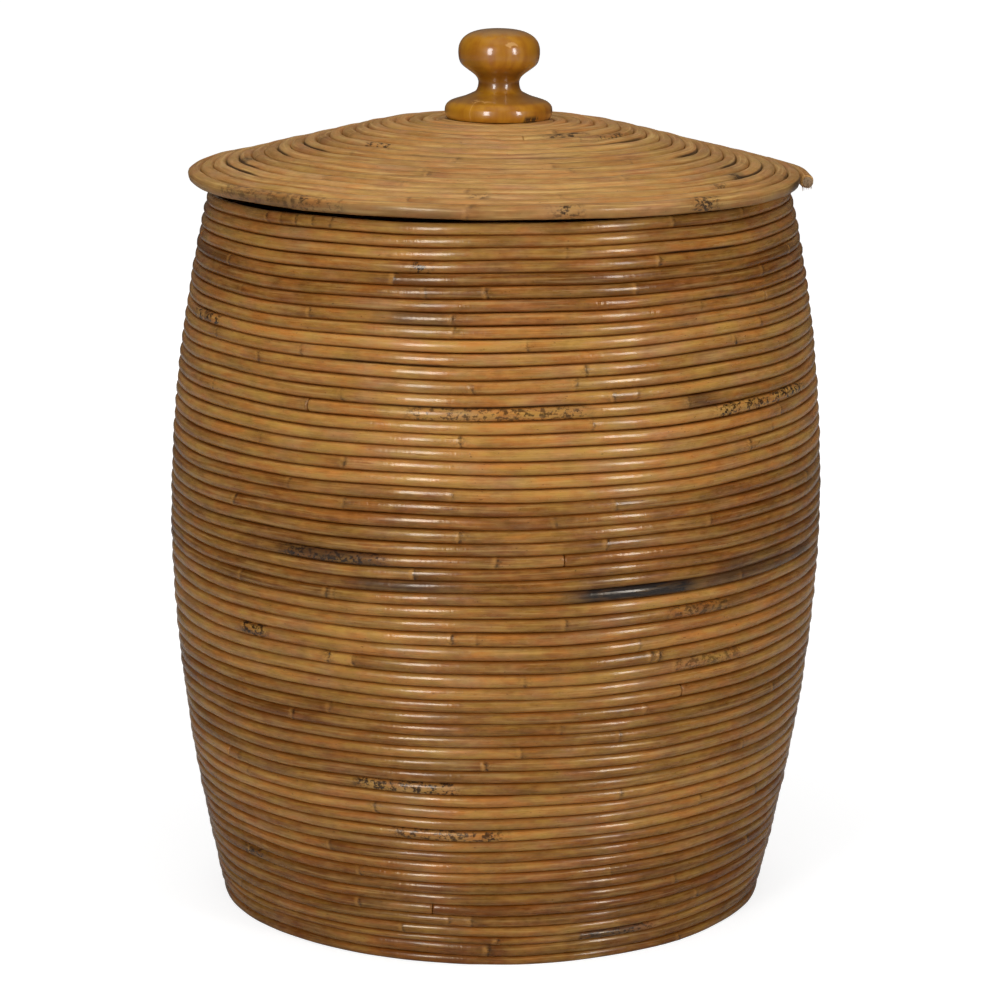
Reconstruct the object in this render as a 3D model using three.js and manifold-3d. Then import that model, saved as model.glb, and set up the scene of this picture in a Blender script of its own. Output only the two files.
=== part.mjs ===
// A barrel basket coiled from round pencil cane, with a loose cone lid and a turned wooden knob.
// Millimetres, +Z up, the origin on the floor below the middle of the belly, the front towards -Y.

import * as THREE from 'three';
import { mergeVertices } from 'three/addons/utils/BufferGeometryUtils.js';
import Module from 'manifold-3d';

const wasm = await Module();
wasm.setup();

// The wall's outer face
const FOOT_RADIUS = 180.5;
const BELLY_RADIUS = 215;
const MOUTH_RADIUS = 188.2;
const BELLY_HEIGHT = 255;
const WALL_HEIGHT = 475.6;
const LOWER_FULLNESS = 1.8;
const UPPER_FULLNESS = 2;

// The coil crept sideways as it was laid, so the wall leans this many degrees towards +X.
const LEAN = 0.74;

// The canes. The wall's thickness is given at distances up the wall's face, because the maker
// used up stouter and thinner rods by turns.
const WALL_CANES = 16;
const WALL_THICKNESS = [
  [0, 6.4], [40, 8], [80, 7.4], [130, 8.1], [160, 7.8], [215, 9], [262, 7.5], [290, 8.4],
  [385, 8.3], [410, 7.8], [480, 7.7],
];
const FOOT_HOOP_THICKNESS = 6.1;
const BASE_HOOP_THICKNESS = 9.5;
const BASE_THICKNESS = 10;
const BASE_CANES = 2;
const BASE_LEAST_RADIUS = 8;
const LID_THICKNESS = 8.6;
const LID_CANES = 3;
const HOOP_THICKNESS = 8;
const SKIVED_TIP = 1.2;

// Where the outer ends of the coils lie, in degrees from +X, counter-clockwise seen from above
const WALL_END = 45;
const LID_END = 0;
const BASE_END = 90;
const HOOP_END = 90;

// The lid
const LID_RADIUS = 204.7;
const LID_SLOPE = 14;
const CROWN_RADIUS = 46;
const CROWN_BLEND = 43;
const LID_PLAY = 2.5;

// The lid sits on the end of the wall's coil, lower towards +X by this many degrees, and a little
// short of the mouth's middle.
const LID_TILT = 0.6;
const LID_SETBACK = 1.3;

// The knob, with heights from the underside of its flange. The cove is the hollow above the
// flange, and the throat and the cheek are the underside of the head, each a share of the way
// from the neck outwards and upwards.
const FLANGE_RADIUS = 35;
const FLANGE_HEIGHT = 12;
const FLANGE_ROUND = 1.5;
const NECK_RADIUS = 13.3;
const NECK_HEIGHT = 22;
const HEAD_RADIUS = 26.5;
const HEAD_HEIGHT = 42;
const KNOB_HEIGHT = 57.5;
const TENON_RADIUS = 9;
const SHOULDER_SHARE = [0.68, 0.86];
const COVE_SHARE = [0.2, 0.55];
const THROAT_SHARE = [0.3, 0.35];
const CHEEK_SHARE = [0.85, 0.64];
const HEAD_SQUARENESS = 2.6;

// The fastening below the knob
const DISC_RADIUS = 30;
const DISC_THICKNESS = 7;
const WASHER_RADIUS = 9;
const WASHER_THICKNESS = 1.5;
const SCREW_RADIUS = 2.2;
const SCREW_BITE = 26;
const SCREW_HEAD_RADIUS = 4.6;
const SCREW_HEAD_HEIGHT = 3;

// Brads and pins
const BRAD_RADIUS = 0.9;
const BRAD_BITE = 2;
const BRAD_SETBACK = 16;
const PIN_COUNT = 4;
const PIN_LENGTH = 19;
const PIN_SUNK = 0.8;

// Clearances
const COURSE_GAP = 0.6;
const SEAT_GAP = 0.3;

// Facets: 16 chords to a turn. A cane's section comes to a point outwards and is flat where it
// meets the next course and at its back. The base's canes are flat on all four sides. Corners
// are shares of half the width outwards and of half the thickness across.
const STEPS = 16;
const STEP = (2 * Math.PI) / STEPS;
const LINE_POINTS = 24;
const BACK = 0.8;
const SHOULDER = 0.5;
const CANE_OUTLINE = [[1, 0], [SHOULDER, 1], [-BACK, 1], [-BACK, -1], [SHOULDER, -1]];
const BASE_OUTLINE = [[BACK, 1], [-BACK, 1], [-BACK, -1], [BACK, -1]];
const PIN_SIDES = 4;
const KNOB_POINTS = 14;
const HEAD_POINTS = 5;
const TURNED_SIDES = 16;
const SMALL_SIDES = 12;

// Finishes
const HONEY = 0x9c6a32;
const TAN = 0xa87d4a;
const AMBER = 0xa86a22;
const PALE_WOOD = 0x8f6b44;
const STEEL = 0x8c8a86;
const HUE_SPREAD = 0.006;
const LIGHT_SPREAD = 0.035;
const CANE_ROUGHNESS = 0.42;
const LACQUER_ROUGHNESS = 0.16;
const WOOD_ROUGHNESS = 0.6;
const STEEL_ROUGHNESS = 0.4;
const STEEL_METALNESS = 0.8;

const { degToRad, lerp } = THREE.MathUtils;

function finish(color, roughness, metalness = 0) {
  return new THREE.MeshStandardMaterial({ color, roughness, metalness });
}

const steelFinish = () => finish(STEEL, STEEL_ROUGHNESS, STEEL_METALNESS);

// Canes vary a little in colour from rod to rod.
function caneFinish(color, index) {
  const hue = HUE_SPREAD * Math.sin(2 * index);
  const light = LIGHT_SPREAD * Math.sin(4 * index);
  return finish(new THREE.Color(color).offsetHSL(hue, 0, light), CANE_ROUGHNESS);
}

function named(name, geometry, material) {
  const mesh = new THREE.Mesh(geometry, material);
  mesh.name = name;
  return mesh;
}

const oneDigit = (number) => String(number);
const twoDigits = (number) => String(number).padStart(2, '0');

// Courses. A coil is laid along a line in radius and height: its outer face where it is faced,
// and otherwise its middle. A course is one section of a cane: its centre, the way across to
// the next course, the way out of the face, its distance along the line, and its size.
function course({ line, faced }, distance, thickness, width = thickness) {
  const share = THREE.MathUtils.clamp(distance / line.getLength(), 0, 1);
  const across = line.getTangentAt(share);
  const out = new THREE.Vector2(across.y, -across.x);
  const centre = line.getPointAt(share).addScaledVector(out, faced ? -width / 2 : 0);
  return { centre, across, out, distance, thickness, width };
}

// Winds a coil along a line. Each course lies on the one a turn before it, so its distance is
// that one's plus half of both thicknesses. A skived coil starts from a thin tip, which grows
// to a full rod in the first turn and lets the coil climb off a level ring.
function wind(path, begin, thicknessAt, skived, fits) {
  const courses = [];
  for (;;) {
    const count = courses.length;
    const before = courses[count - STEPS];
    const width = thicknessAt(before ? before.distance + before.thickness : begin);
    const grown = skived ? Math.min(count / STEPS, 1) : 1;
    const thickness = lerp(SKIVED_TIP, width, grown);
    const climb = skived ? 0 : (thickness * count) / STEPS;
    const distance = before
      ? before.distance + (before.thickness + thickness) / 2
      : begin + thickness / 2 + climb;
    const next = course(path, distance, thickness, width);
    if (!fits(next)) {
      return courses;
    }
    courses.push(next);
  }
}

// A coil is its courses with the angle of the first one and the way that it turns.
function coil(courses, firstAngle, direction, outline = CANE_OUTLINE) {
  return { courses, firstAngle, direction, outline };
}

function corners(section, outline) {
  const half = (section.thickness - COURSE_GAP) / 2;
  return outline.map(([outShare, acrossShare]) => section.centre.clone()
    .addScaledVector(section.out, (outShare * section.width) / 2)
    .addScaledVector(section.across, acrossShare * half));
}

function ring(wound, index) {
  const angle = wound.firstAngle + wound.direction * index * STEP;
  return corners(wound.courses[index], wound.outline)
    .map((corner) => new THREE.Vector3(corner.x * Math.cos(angle), corner.x * Math.sin(angle), corner.y));
}

// A place along a coil is counted in steps, and between two steps it lies on the straight chord.
function ringAt(wound, place) {
  const index = Math.min(Math.floor(place), wound.courses.length - 2);
  const next = ring(wound, index + 1);
  return ring(wound, index).map((corner, side) => corner.lerp(next[side], place - index));
}

function centreAt(wound, place) {
  const sum = ringAt(wound, place).reduce((total, corner) => total.add(corner), new THREE.Vector3());
  return sum.divideScalar(wound.outline.length);
}

function chordAt(wound, place) {
  return 2 * wound.courses[Math.floor(place)].centre.x * Math.sin(STEP / 2);
}

// A closed tube through rings of points, with a flat cap at each end
function tube(rings) {
  const sides = rings[0].length;
  const index = [];
  for (let row = 0; row < rings.length - 1; row += 1) {
    for (let side = 0; side < sides; side += 1) {
      const a = row * sides + side;
      const b = row * sides + ((side + 1) % sides);
      index.push(a, b, b + sides, a, b + sides, a + sides);
    }
  }
  const last = (rings.length - 1) * sides;
  for (let side = 1; side < sides - 1; side += 1) {
    index.push(0, side + 1, side, last, last + side, last + side + 1);
  }
  const geometry = new THREE.BufferGeometry().setFromPoints(rings.flat());
  geometry.setIndex(index);
  return geometry;
}

function signedVolume(geometry) {
  const { position } = geometry.attributes;
  const point = (entry) => new THREE.Vector3().fromBufferAttribute(position, geometry.index.array[entry]);
  let volume = 0;
  for (let entry = 0; entry < geometry.index.count; entry += 3) {
    volume += point(entry).dot(point(entry + 1).cross(point(entry + 2))) / 6;
  }
  return volume;
}

// The stretch of a coil between two places, as one solid rod with its faces outwards
function rod(wound, from, to) {
  const rings = [ringAt(wound, from)];
  for (let index = Math.floor(from) + 1; index < to; index += 1) {
    rings.push(ring(wound, index));
  }
  rings.push(ringAt(wound, to));
  const geometry = tube(rings);
  return signedVolume(geometry) > 0 ? geometry : tube(rings.reverse());
}

// The places where a coil is cut into butted canes, each in the middle of a chord
function jointsOf(wound, count) {
  const end = wound.courses.length - 1;
  return Array.from({ length: count - 1 }, (_, i) => Math.round(((i + 1) * end) / count) + 0.5);
}

function butted(wound, joints) {
  const end = wound.courses.length - 1;
  return [...joints, end].map((joint, i) => {
    const before = i === 0 ? 0 : joints[i - 1];
    const from = i === 0 ? 0 : before + SEAT_GAP / 2 / chordAt(wound, before);
    const to = joint === end ? end : joint - SEAT_GAP / 2 / chordAt(wound, joint);
    return { geometry: rod(wound, from, to), from, to };
  });
}

// One cane bent round into a level ring, with its ends butted
function hoop(section) {
  const level = coil(Array(STEPS + 2).fill(section), degToRad(HOOP_END), 1);
  const half = SEAT_GAP / 2 / chordAt(level, 0);
  return rod(level, 0.5 + half, STEPS + 0.5 - half);
}

// The least gap of a coil to itself, measured from the corners of each section to the sides of
// the section one turn on
function leastGap(wound) {
  let least = Infinity;
  for (let index = 0; index + STEPS < wound.courses.length; index += 1) {
    const here = corners(wound.courses[index], wound.outline);
    const next = corners(wound.courses[index + STEPS], wound.outline);
    for (const [points, loop] of [[here, next], [next, here]]) {
      points.forEach((point) => loop.forEach((start, side) => {
        const run = loop[(side + 1) % loop.length].clone().sub(start);
        const share = THREE.MathUtils.clamp(point.clone().sub(start).dot(run) / run.lengthSq(), 0, 1);
        least = Math.min(least, start.clone().addScaledVector(run, share).distanceTo(point));
      }));
    }
  }
  return least;
}

// Solids for cutting
function solidOf(mesh) {
  mesh.updateMatrix();
  const bare = mesh.geometry.clone().applyMatrix4(mesh.matrix);
  bare.deleteAttribute('normal');
  bare.deleteAttribute('uv');
  const closed = mergeVertices(bare);
  return new wasm.Manifold(new wasm.Mesh({
    numProp: 3,
    vertProperties: new Float32Array(closed.attributes.position.array),
    triVerts: new Uint32Array(closed.index.array),
  }));
}

function geometryOf(solid) {
  const { vertProperties, triVerts } = solid.getMesh();
  const geometry = new THREE.BufferGeometry();
  geometry.setAttribute('position', new THREE.BufferAttribute(vertProperties, 3));
  geometry.setIndex(new THREE.BufferAttribute(triVerts, 1));
  return geometry;
}

// A straight nail from one point to another
function nail(name, start, end, radius) {
  const run = end.clone().sub(start);
  const geometry = new THREE.CylinderGeometry(radius, radius, run.length(), PIN_SIDES);
  const mesh = named(name, geometry, steelFinish());
  mesh.position.copy(start).addScaledVector(run, 0.5);
  mesh.quaternion.setFromUnitVectors(new THREE.Vector3(0, 1, 0), run.normalize());
  return mesh;
}

// Drives a nail through pieces that are still in their own frame, and bores its hole in each.
// The hole is wider and deeper by the seat gap, and reaches past the nail's head as given.
function drive(name, start, end, pieces, headReach) {
  const run = end.clone().sub(start).normalize();
  const mouth = start.clone().addScaledVector(run, -headReach);
  const floor = end.clone().addScaledVector(run, SEAT_GAP);
  const hole = solidOf(nail(name, mouth, floor, BRAD_RADIUS + SEAT_GAP / Math.cos(Math.PI / PIN_SIDES)));
  pieces.forEach((piece) => {
    piece.geometry = geometryOf(solidOf(piece).subtract(hole));
  });
  return nail(name, start, end, BRAD_RADIUS);
}

// A brad near the start of each cane after the first, from the middle of its back into the
// course a turn before, which it lies on
function bradJoints(prefix, wound, joints, canes, digits = oneDigit) {
  return joints.map((joint, i) => {
    const place = joint + BRAD_SETBACK / chordAt(wound, joint);
    const neighbour = place - STEPS;
    const head = centreAt(wound, place);
    const foot = centreAt(wound, neighbour);
    const run = foot.clone().sub(head).normalize();
    const half = wound.courses[Math.floor(place)].thickness / 2;
    const start = head.addScaledVector(run, COURSE_GAP / 2 + SEAT_GAP - half);
    const end = foot.addScaledVector(run, BRAD_BITE);
    const bored = canes.filter(({ userData }) => [place, neighbour]
      .some((spot) => userData.from < spot && spot < userData.to));
    return drive(`${prefix}_${digits(i + 1)}`, start, end, bored, SEAT_GAP + COURSE_GAP / 2);
  });
}

function canesOf(prefix, wound, joints, color, digits = oneDigit) {
  return butted(wound, joints).map(({ geometry, from, to }, i) => {
    const cane = named(`${prefix}_${digits(i + 1)}`, geometry, caneFinish(color, i));
    cane.userData = { from, to };
    return cane;
  });
}

// The wall's face, from the foot out to the belly and in again to the mouth
function wallRadius(height) {
  const below = height < BELLY_HEIGHT;
  const end = below ? FOOT_RADIUS : MOUTH_RADIUS;
  const reach = below ? BELLY_HEIGHT : WALL_HEIGHT - BELLY_HEIGHT;
  const share = Math.abs(height - BELLY_HEIGHT) / reach;
  return BELLY_RADIUS - (BELLY_RADIUS - end) * share ** (below ? LOWER_FULLNESS : UPPER_FULLNESS);
}

const wallLine = new THREE.SplineCurve(Array.from({ length: LINE_POINTS + 1 }, (_, i) => {
  const height = (WALL_HEIGHT * i) / LINE_POINTS;
  return new THREE.Vector2(wallRadius(height), height);
}));
const wallPath = { line: wallLine, faced: true };

function wallThickness(distance) {
  const next = WALL_THICKNESS.findIndex(([mark]) => mark > distance);
  if (next < 1) {
    return WALL_THICKNESS[next === 0 ? 0 : WALL_THICKNESS.length - 1][1];
  }
  const [low, high] = [WALL_THICKNESS[next - 1], WALL_THICKNESS[next]];
  return lerp(low[1], high[1], (distance - low[0]) / (high[0] - low[0]));
}

// The two level hoops at the foot. The lower one is upright, so that its flat lies on the floor,
// and the upper one leans with the wall.
const footHalf = (FOOT_HOOP_THICKNESS - COURSE_GAP) / 2;
const footSection = {
  centre: new THREE.Vector2(wallRadius(footHalf) - FOOT_HOOP_THICKNESS / 2, footHalf),
  across: new THREE.Vector2(0, 1),
  out: new THREE.Vector2(1, 0),
  thickness: FOOT_HOOP_THICKNESS,
  width: FOOT_HOOP_THICKNESS,
};
const footHoop = named('foot_hoop', hoop(footSection), caneFinish(HONEY, 3));

const footLean = wallLine.getTangentAt(0);
const leanRise = (1 - SHOULDER) * (BASE_HOOP_THICKNESS / 2) * footLean.x;
const baseHoopDistance = (2 * footHalf + SEAT_GAP - leanRise) / footLean.y
  + (BASE_HOOP_THICKNESS - COURSE_GAP) / 2;
const baseHoopSection = course(wallPath, baseHoopDistance, BASE_HOOP_THICKNESS);
const baseHoop = named('base_hoop', hoop(baseHoopSection), caneFinish(HONEY, 7));

// The wall's coil
const wallBegin = baseHoopDistance + BASE_HOOP_THICKNESS / 2;
const wallLength = wallLine.getLength();
const wallCourses = wind(wallPath, wallBegin, wallThickness, true,
  (next) => next.distance + next.thickness / 2 <= wallLength);
const wallCoil = coil(wallCourses, degToRad(WALL_END) - (wallCourses.length - 1) * STEP, 1);
const wallJoints = jointsOf(wallCoil, WALL_CANES);
const wallCanes = canesOf('wall_cane', wallCoil, wallJoints, HONEY, twoDigits);
const wallBrads = bradJoints('wall_brad', wallCoil, wallJoints, wallCanes, twoDigits);

// The base coil, wound inwards from a skived tip that lies against the base hoop
const hoopInside = Math.min(...corners(baseHoopSection, CANE_OUTLINE).map((corner) => corner.x));
const baseMiddle = baseHoopSection.centre.y;
const baseLine = new THREE.LineCurve(
  new THREE.Vector2(hoopInside - SEAT_GAP + COURSE_GAP / 2, baseMiddle),
  new THREE.Vector2(0, baseMiddle),
);
const baseCourses = wind({ line: baseLine }, 0, () => BASE_THICKNESS, true,
  (next) => next.centre.x - next.thickness / 2 >= BASE_LEAST_RADIUS - BASE_THICKNESS / 2);
const baseCoil = coil(baseCourses, degToRad(BASE_END), -1, BASE_OUTLINE);
const baseJoints = jointsOf(baseCoil, BASE_CANES);
const baseCanes = canesOf('base_cane', baseCoil, baseJoints, TAN);
const baseBrads = bradJoints('base_brad', baseCoil, baseJoints, baseCanes);

// Pins through the base hoop into the base coil, each square to the middle of a chord
const basePins = Array.from({ length: PIN_COUNT }, (_, i) => {
  const angle = (Math.floor((i * STEPS) / PIN_COUNT) + 0.5) * STEP;
  const inwards = new THREE.Vector3(-Math.cos(angle), -Math.sin(angle), 0);
  const face = (baseHoopSection.centre.x + BASE_HOOP_THICKNESS / 2) * Math.cos(STEP / 2);
  const start = new THREE.Vector3(0, 0, baseMiddle).addScaledVector(inwards, PIN_SUNK - face);
  const end = start.clone().addScaledVector(inwards, PIN_LENGTH);
  return drive(`base_pin_${i + 1}`, start, end, [baseHoop, ...baseCanes], 2 * PIN_SUNK);
});

// The middle of the lid's canes, a cone with a flat crown, made level to fit the highest point of
// the wall
const lidSlope = Math.tan(degToRad(LID_SLOPE));
const lidBack = (BACK * LID_THICKNESS) / 2;
const lidDrop = lidBack * Math.cos(degToRad(LID_SLOPE));
const lidShift = lidBack * Math.sin(degToRad(LID_SLOPE));
const topCourse = wallCourses[wallCourses.length - 1];
const topCorners = corners(topCourse, CANE_OUTLINE);
const rimTop = Math.max(...topCorners.map((corner) => corner.y));
const rimOuter = topCourse.centre.x + (SHOULDER * topCourse.width) / 2;
const crownMiddle = rimTop + SEAT_GAP + lidDrop
  + lidSlope * (rimOuter + lidShift - CROWN_RADIUS - CROWN_BLEND / 2);

function lidHeight(radius) {
  const beyond = Math.max(radius - CROWN_RADIUS, 0);
  const bend = Math.min(beyond, CROWN_BLEND);
  return crownMiddle - (lidSlope * bend * bend) / (2 * CROWN_BLEND) - lidSlope * (beyond - bend);
}

const lidLine = new THREE.SplineCurve(Array.from({ length: LINE_POINTS + 1 }, (_, i) => {
  const radius = LID_RADIUS * (1 - i / LINE_POINTS);
  return new THREE.Vector2(radius, lidHeight(radius));
}));
const lidHole = (TENON_RADIUS + SEAT_GAP) / Math.cos(STEP / 2);
const lidCourses = wind({ line: lidLine }, 0, () => LID_THICKNESS, false,
  (next) => next.centre.x - LID_THICKNESS / 2 >= lidHole);
const lidCoil = coil(lidCourses, degToRad(LID_END), 1);
const lidJoints = jointsOf(lidCoil, LID_CANES);
const lidCanes = canesOf('lid_cane', lidCoil, lidJoints, TAN);
const lidBrads = bradJoints('lid_brad', lidCoil, lidJoints, lidCanes);

// How far the tilted lid has to rise to clear the wall's last turn, and where its axis stands
const lean = Math.tan(degToRad(LEAN));
const lidOffset = lean * (rimTop - BELLY_HEIGHT) - LID_SETBACK;
const lidRise = Math.max(...wallCourses.slice(-STEPS).map((section, i) => {
  const angle = degToRad(WALL_END) - (STEPS - 1 - i) * STEP;
  const top = Math.max(...corners(section, CANE_OUTLINE).map((corner) => corner.y));
  const outer = section.centre.x + (SHOULDER * section.width) / 2;
  const x = outer * Math.cos(angle) + LID_SETBACK;
  const further = Math.hypot(x, outer * Math.sin(angle)) - rimOuter;
  return top - rimTop + x * Math.tan(degToRad(LID_TILT)) + further * lidSlope;
}));

// The locating hoop hangs below the lid, inside the mouth with some play
const mouthInside = Math.min(...topCorners.map((corner) => corner.x));
const locatingRadius = mouthInside - LID_PLAY - HOOP_THICKNESS / 2;
const lidUnderside = lidHeight(locatingRadius + (SHOULDER * HOOP_THICKNESS) / 2 + lidShift) - lidDrop;
const locatingHoop = named('lid_locating_hoop', hoop({
  centre: new THREE.Vector2(locatingRadius, lidUnderside - SEAT_GAP - (HOOP_THICKNESS - COURSE_GAP) / 2),
  across: new THREE.Vector2(0, 1),
  out: new THREE.Vector2(1, 0),
  thickness: HOOP_THICKNESS,
  width: HOOP_THICKNESS,
}), caneFinish(TAN, 5));

// The knob, turned in one piece with its tenon, and bored from below for the screw
const knobFoot = crownMiddle + LID_THICKNESS / 2 + SEAT_GAP;
const crownUnderside = crownMiddle - lidBack;
const tenonEnd = crownUnderside - knobFoot;
const discTop = crownUnderside - SEAT_GAP;
const washerTop = discTop - DISC_THICKNESS - SEAT_GAP;
const headTop = washerTop - WASHER_THICKNESS - SEAT_GAP;
const screwTip = knobFoot + SCREW_BITE;

// A solid of revolution about the upright axis
function revolved(name, outline, material, sides) {
  const points = outline.map(([radius, height]) => new THREE.Vector2(radius, height));
  return named(name, new THREE.LatheGeometry(points, sides).rotateX(Math.PI / 2), material);
}

function between([outShare, upShare], low, high) {
  return new THREE.Vector2(lerp(low.x, high.x, outShare), lerp(low.y, high.y, upShare));
}

// The knob's side from the flange's foot up to the head's widest point, and its rounded top
function knobOutline() {
  const edge = new THREE.Vector2(FLANGE_RADIUS, FLANGE_HEIGHT / 2 - FLANGE_ROUND);
  const brim = new THREE.Vector2(FLANGE_RADIUS - FLANGE_ROUND, FLANGE_HEIGHT - FLANGE_ROUND);
  const neck = new THREE.Vector2(NECK_RADIUS, NECK_HEIGHT);
  const cheek = new THREE.Vector2(HEAD_RADIUS, HEAD_HEIGHT);
  const side = new THREE.SplineCurve([
    new THREE.Vector2(FLANGE_RADIUS - FLANGE_ROUND, 0),
    edge,
    brim,
    between(SHOULDER_SHARE, neck, brim),
    between(COVE_SHARE, neck, brim),
    neck,
    between(THROAT_SHARE, neck, cheek),
    between(CHEEK_SHARE, neck, cheek),
    cheek,
  ]);
  const points = side.getPoints(KNOB_POINTS).map((point) => [point.x, point.y]);
  for (let i = 1; i < HEAD_POINTS; i += 1) {
    const turn = (i / HEAD_POINTS) * (Math.PI / 2);
    points.push([
      HEAD_RADIUS * Math.cos(turn) ** (2 / HEAD_SQUARENESS),
      lerp(HEAD_HEIGHT, KNOB_HEIGHT, Math.sin(turn) ** (2 / HEAD_SQUARENESS)),
    ]);
  }
  return [...points, [0, KNOB_HEIGHT]];
}

const boreRadius = SCREW_RADIUS + SEAT_GAP;
const boreEnd = SCREW_BITE + 2 * SEAT_GAP;
const knob = revolved('knob', [
  [0, boreEnd], [boreRadius, boreEnd], [boreRadius, tenonEnd], [TENON_RADIUS, tenonEnd],
  [TENON_RADIUS, 0], ...knobOutline(),
], finish(AMBER, LACQUER_ROUGHNESS), TURNED_SIDES);
knob.position.z = knobFoot;

const disc = revolved('backing_disc', [
  [boreRadius, -DISC_THICKNESS], [DISC_RADIUS, -DISC_THICKNESS], [DISC_RADIUS, 0], [boreRadius, 0],
  [boreRadius, -DISC_THICKNESS],
], finish(PALE_WOOD, WOOD_ROUGHNESS), SMALL_SIDES);
disc.position.z = discTop;

const washer = revolved('washer', [
  [boreRadius, -WASHER_THICKNESS], [WASHER_RADIUS, -WASHER_THICKNESS], [WASHER_RADIUS, 0],
  [boreRadius, 0], [boreRadius, -WASHER_THICKNESS],
], steelFinish(), SMALL_SIDES);
washer.position.z = washerTop;

const screw = revolved('knob_screw', [
  [0, headTop - SCREW_HEAD_HEIGHT], [SCREW_HEAD_RADIUS, headTop - SCREW_HEAD_HEIGHT],
  [SCREW_HEAD_RADIUS, headTop], [SCREW_RADIUS, headTop], [SCREW_RADIUS, screwTip], [0, screwTip],
], steelFinish(), SMALL_SIDES);

// The assembly: the body that stands on the floor, and the lid that lifts off it. The body's
// courses stay level as they lean, each shifted by its height above the belly. The lid turns
// about the middle of its seat.
const body = new THREE.Group();
body.add(footHoop, baseHoop, ...baseCanes, ...baseBrads, ...basePins, ...wallCanes, ...wallBrads);
body.matrixAutoUpdate = false;
body.matrix.makeShear(0, 0, 0, 0, lean, 0).setPosition(-lean * BELLY_HEIGHT, 0, 0);

const level = new THREE.Group();
level.add(...lidCanes, ...lidBrads, locatingHoop, knob, disc, washer, screw);
level.position.z = -rimTop;

const lid = new THREE.Group();
lid.add(level);
lid.position.set(lidOffset, 0, rimTop + lidRise);
lid.rotation.y = degToRad(LID_TILT);

const basket = new THREE.Group();
basket.add(body, lid);

for (const [name, wound] of [['wall', wallCoil], ['base', baseCoil], ['lid', lidCoil]]) {
  const turns = ((wound.courses.length - 1) / STEPS).toFixed(2);
  console.log(`${name} coil: ${turns} turns, least gap to itself ${leastGap(wound).toFixed(2)} mm`);
}

export default basket;
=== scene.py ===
import math
from types import SimpleNamespace

import bmesh
import bpy
import numpy as np
from mathutils import Matrix, Vector


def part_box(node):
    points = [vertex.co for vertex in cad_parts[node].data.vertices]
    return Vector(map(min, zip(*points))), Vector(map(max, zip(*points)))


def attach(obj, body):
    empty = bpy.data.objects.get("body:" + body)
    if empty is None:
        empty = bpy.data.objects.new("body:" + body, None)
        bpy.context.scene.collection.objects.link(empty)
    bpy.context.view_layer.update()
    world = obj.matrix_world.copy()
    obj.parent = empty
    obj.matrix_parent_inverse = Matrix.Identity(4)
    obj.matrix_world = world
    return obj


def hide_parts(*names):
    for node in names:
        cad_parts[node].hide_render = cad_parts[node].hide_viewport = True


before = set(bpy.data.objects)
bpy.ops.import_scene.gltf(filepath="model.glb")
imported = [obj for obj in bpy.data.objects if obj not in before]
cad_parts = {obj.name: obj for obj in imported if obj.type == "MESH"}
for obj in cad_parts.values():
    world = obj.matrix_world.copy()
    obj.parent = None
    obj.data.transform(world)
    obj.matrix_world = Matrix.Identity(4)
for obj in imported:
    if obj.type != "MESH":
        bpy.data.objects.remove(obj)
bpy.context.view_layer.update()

# The camera stands 2.2 m in front of the basket and looks a little down on it. A pinhole with
# this place, pitch and focal length lays the courses and the outline where the photograph has
# them. The 1 mm sideways centres the basket as it is in the picture.
CAMERA_PLACE = (0.001, -2.235, 0.750)
CAMERA_PITCH = math.radians(12.31)
FOCAL_LENGTH_PIXELS = 3439
PHOTO_HEIGHT_PIXELS = 995
SENSOR_WIDTH = 36

camera_data = bpy.data.cameras.new("camera")
camera_data.sensor_width = SENSOR_WIDTH
camera_data.lens = SENSOR_WIDTH * FOCAL_LENGTH_PIXELS / PHOTO_HEIGHT_PIXELS
camera = bpy.data.objects.new("camera", camera_data)
camera.location = CAMERA_PLACE
camera.rotation_euler = (math.pi / 2 - CAMERA_PITCH, 0, 0)
bpy.context.scene.collection.objects.link(camera)
bpy.context.scene.camera = camera
bpy.context.scene.view_settings.view_transform = "Standard"

# The wall. Round pencil cane (rattan) about 8 mm thick, varnished honey brown, laid in one coil
# that climbs 58 turns and crept a little to the right as it was laid. Each of the 16 canes goes
# round a few times and is butted to the next, and a brad near its start pins it down.
FOOT_RADIUS = 0.1805
BELLY_RADIUS = 0.215
MOUTH_RADIUS = 0.1882
BELLY_HEIGHT = 0.255
WALL_HEIGHT = 0.4756
LOWER_FULLNESS = 1.8
UPPER_FULLNESS = 2
LEAN = math.tan(math.radians(0.74))
LEANING = Matrix(((1, 0, LEAN, -LEAN * BELLY_HEIGHT), (0, 1, 0, 0), (0, 0, 1, 0), (0, 0, 0, 1)))
WALL_THICKNESS = [
    (0, 0.0064), (0.040, 0.008), (0.080, 0.0074), (0.130, 0.0081), (0.160, 0.0078), (0.215, 0.009),
    (0.262, 0.0075), (0.290, 0.0084), (0.385, 0.0083), (0.410, 0.0078), (0.480, 0.0077),
]
WALL_CANES = 16
WALL_SIXTEENTHS = 929
WALL_END = math.radians(45)
STEPS = 16
SKIVED_TIP = 0.0012
COURSE_GAP = 0.0006
BUTT_GAP = 0.0003
FOOT_HOOP_THICKNESS = 0.0061
BASE_HOOP_THICKNESS = 0.0095
LINE_POINTS = 2000

# How a cane is meshed: its sides, the distance between its rings of points, the closer rings at
# a node and at a cut end, the swelling of a node and the rounding of an end, and how full and
# how square its section is
CANE_SIDES = 16
CANE_STEP = 0.006
NODE_RINGS = np.array([-7, -4, -2.4, -1.3, -0.5, 0, 0.5, 1.3, 2.4, 4, 7]) / 1000
NODE_REACH = 0.0026
NODE_SWELLING = 0.045
NODE_SLANT = 0.0011
END_RINGS = np.array([0, 0.3, 0.8, 1.6, 4]) / 1000
END_ROUNDING = np.array([0.80, 0.93, 0.985, 1, 1])
NOMINAL_RADIUS = 0.004
FULLNESS = 1.02
SQUARENESS = 2.3
HAIR = 1e-9

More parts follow.
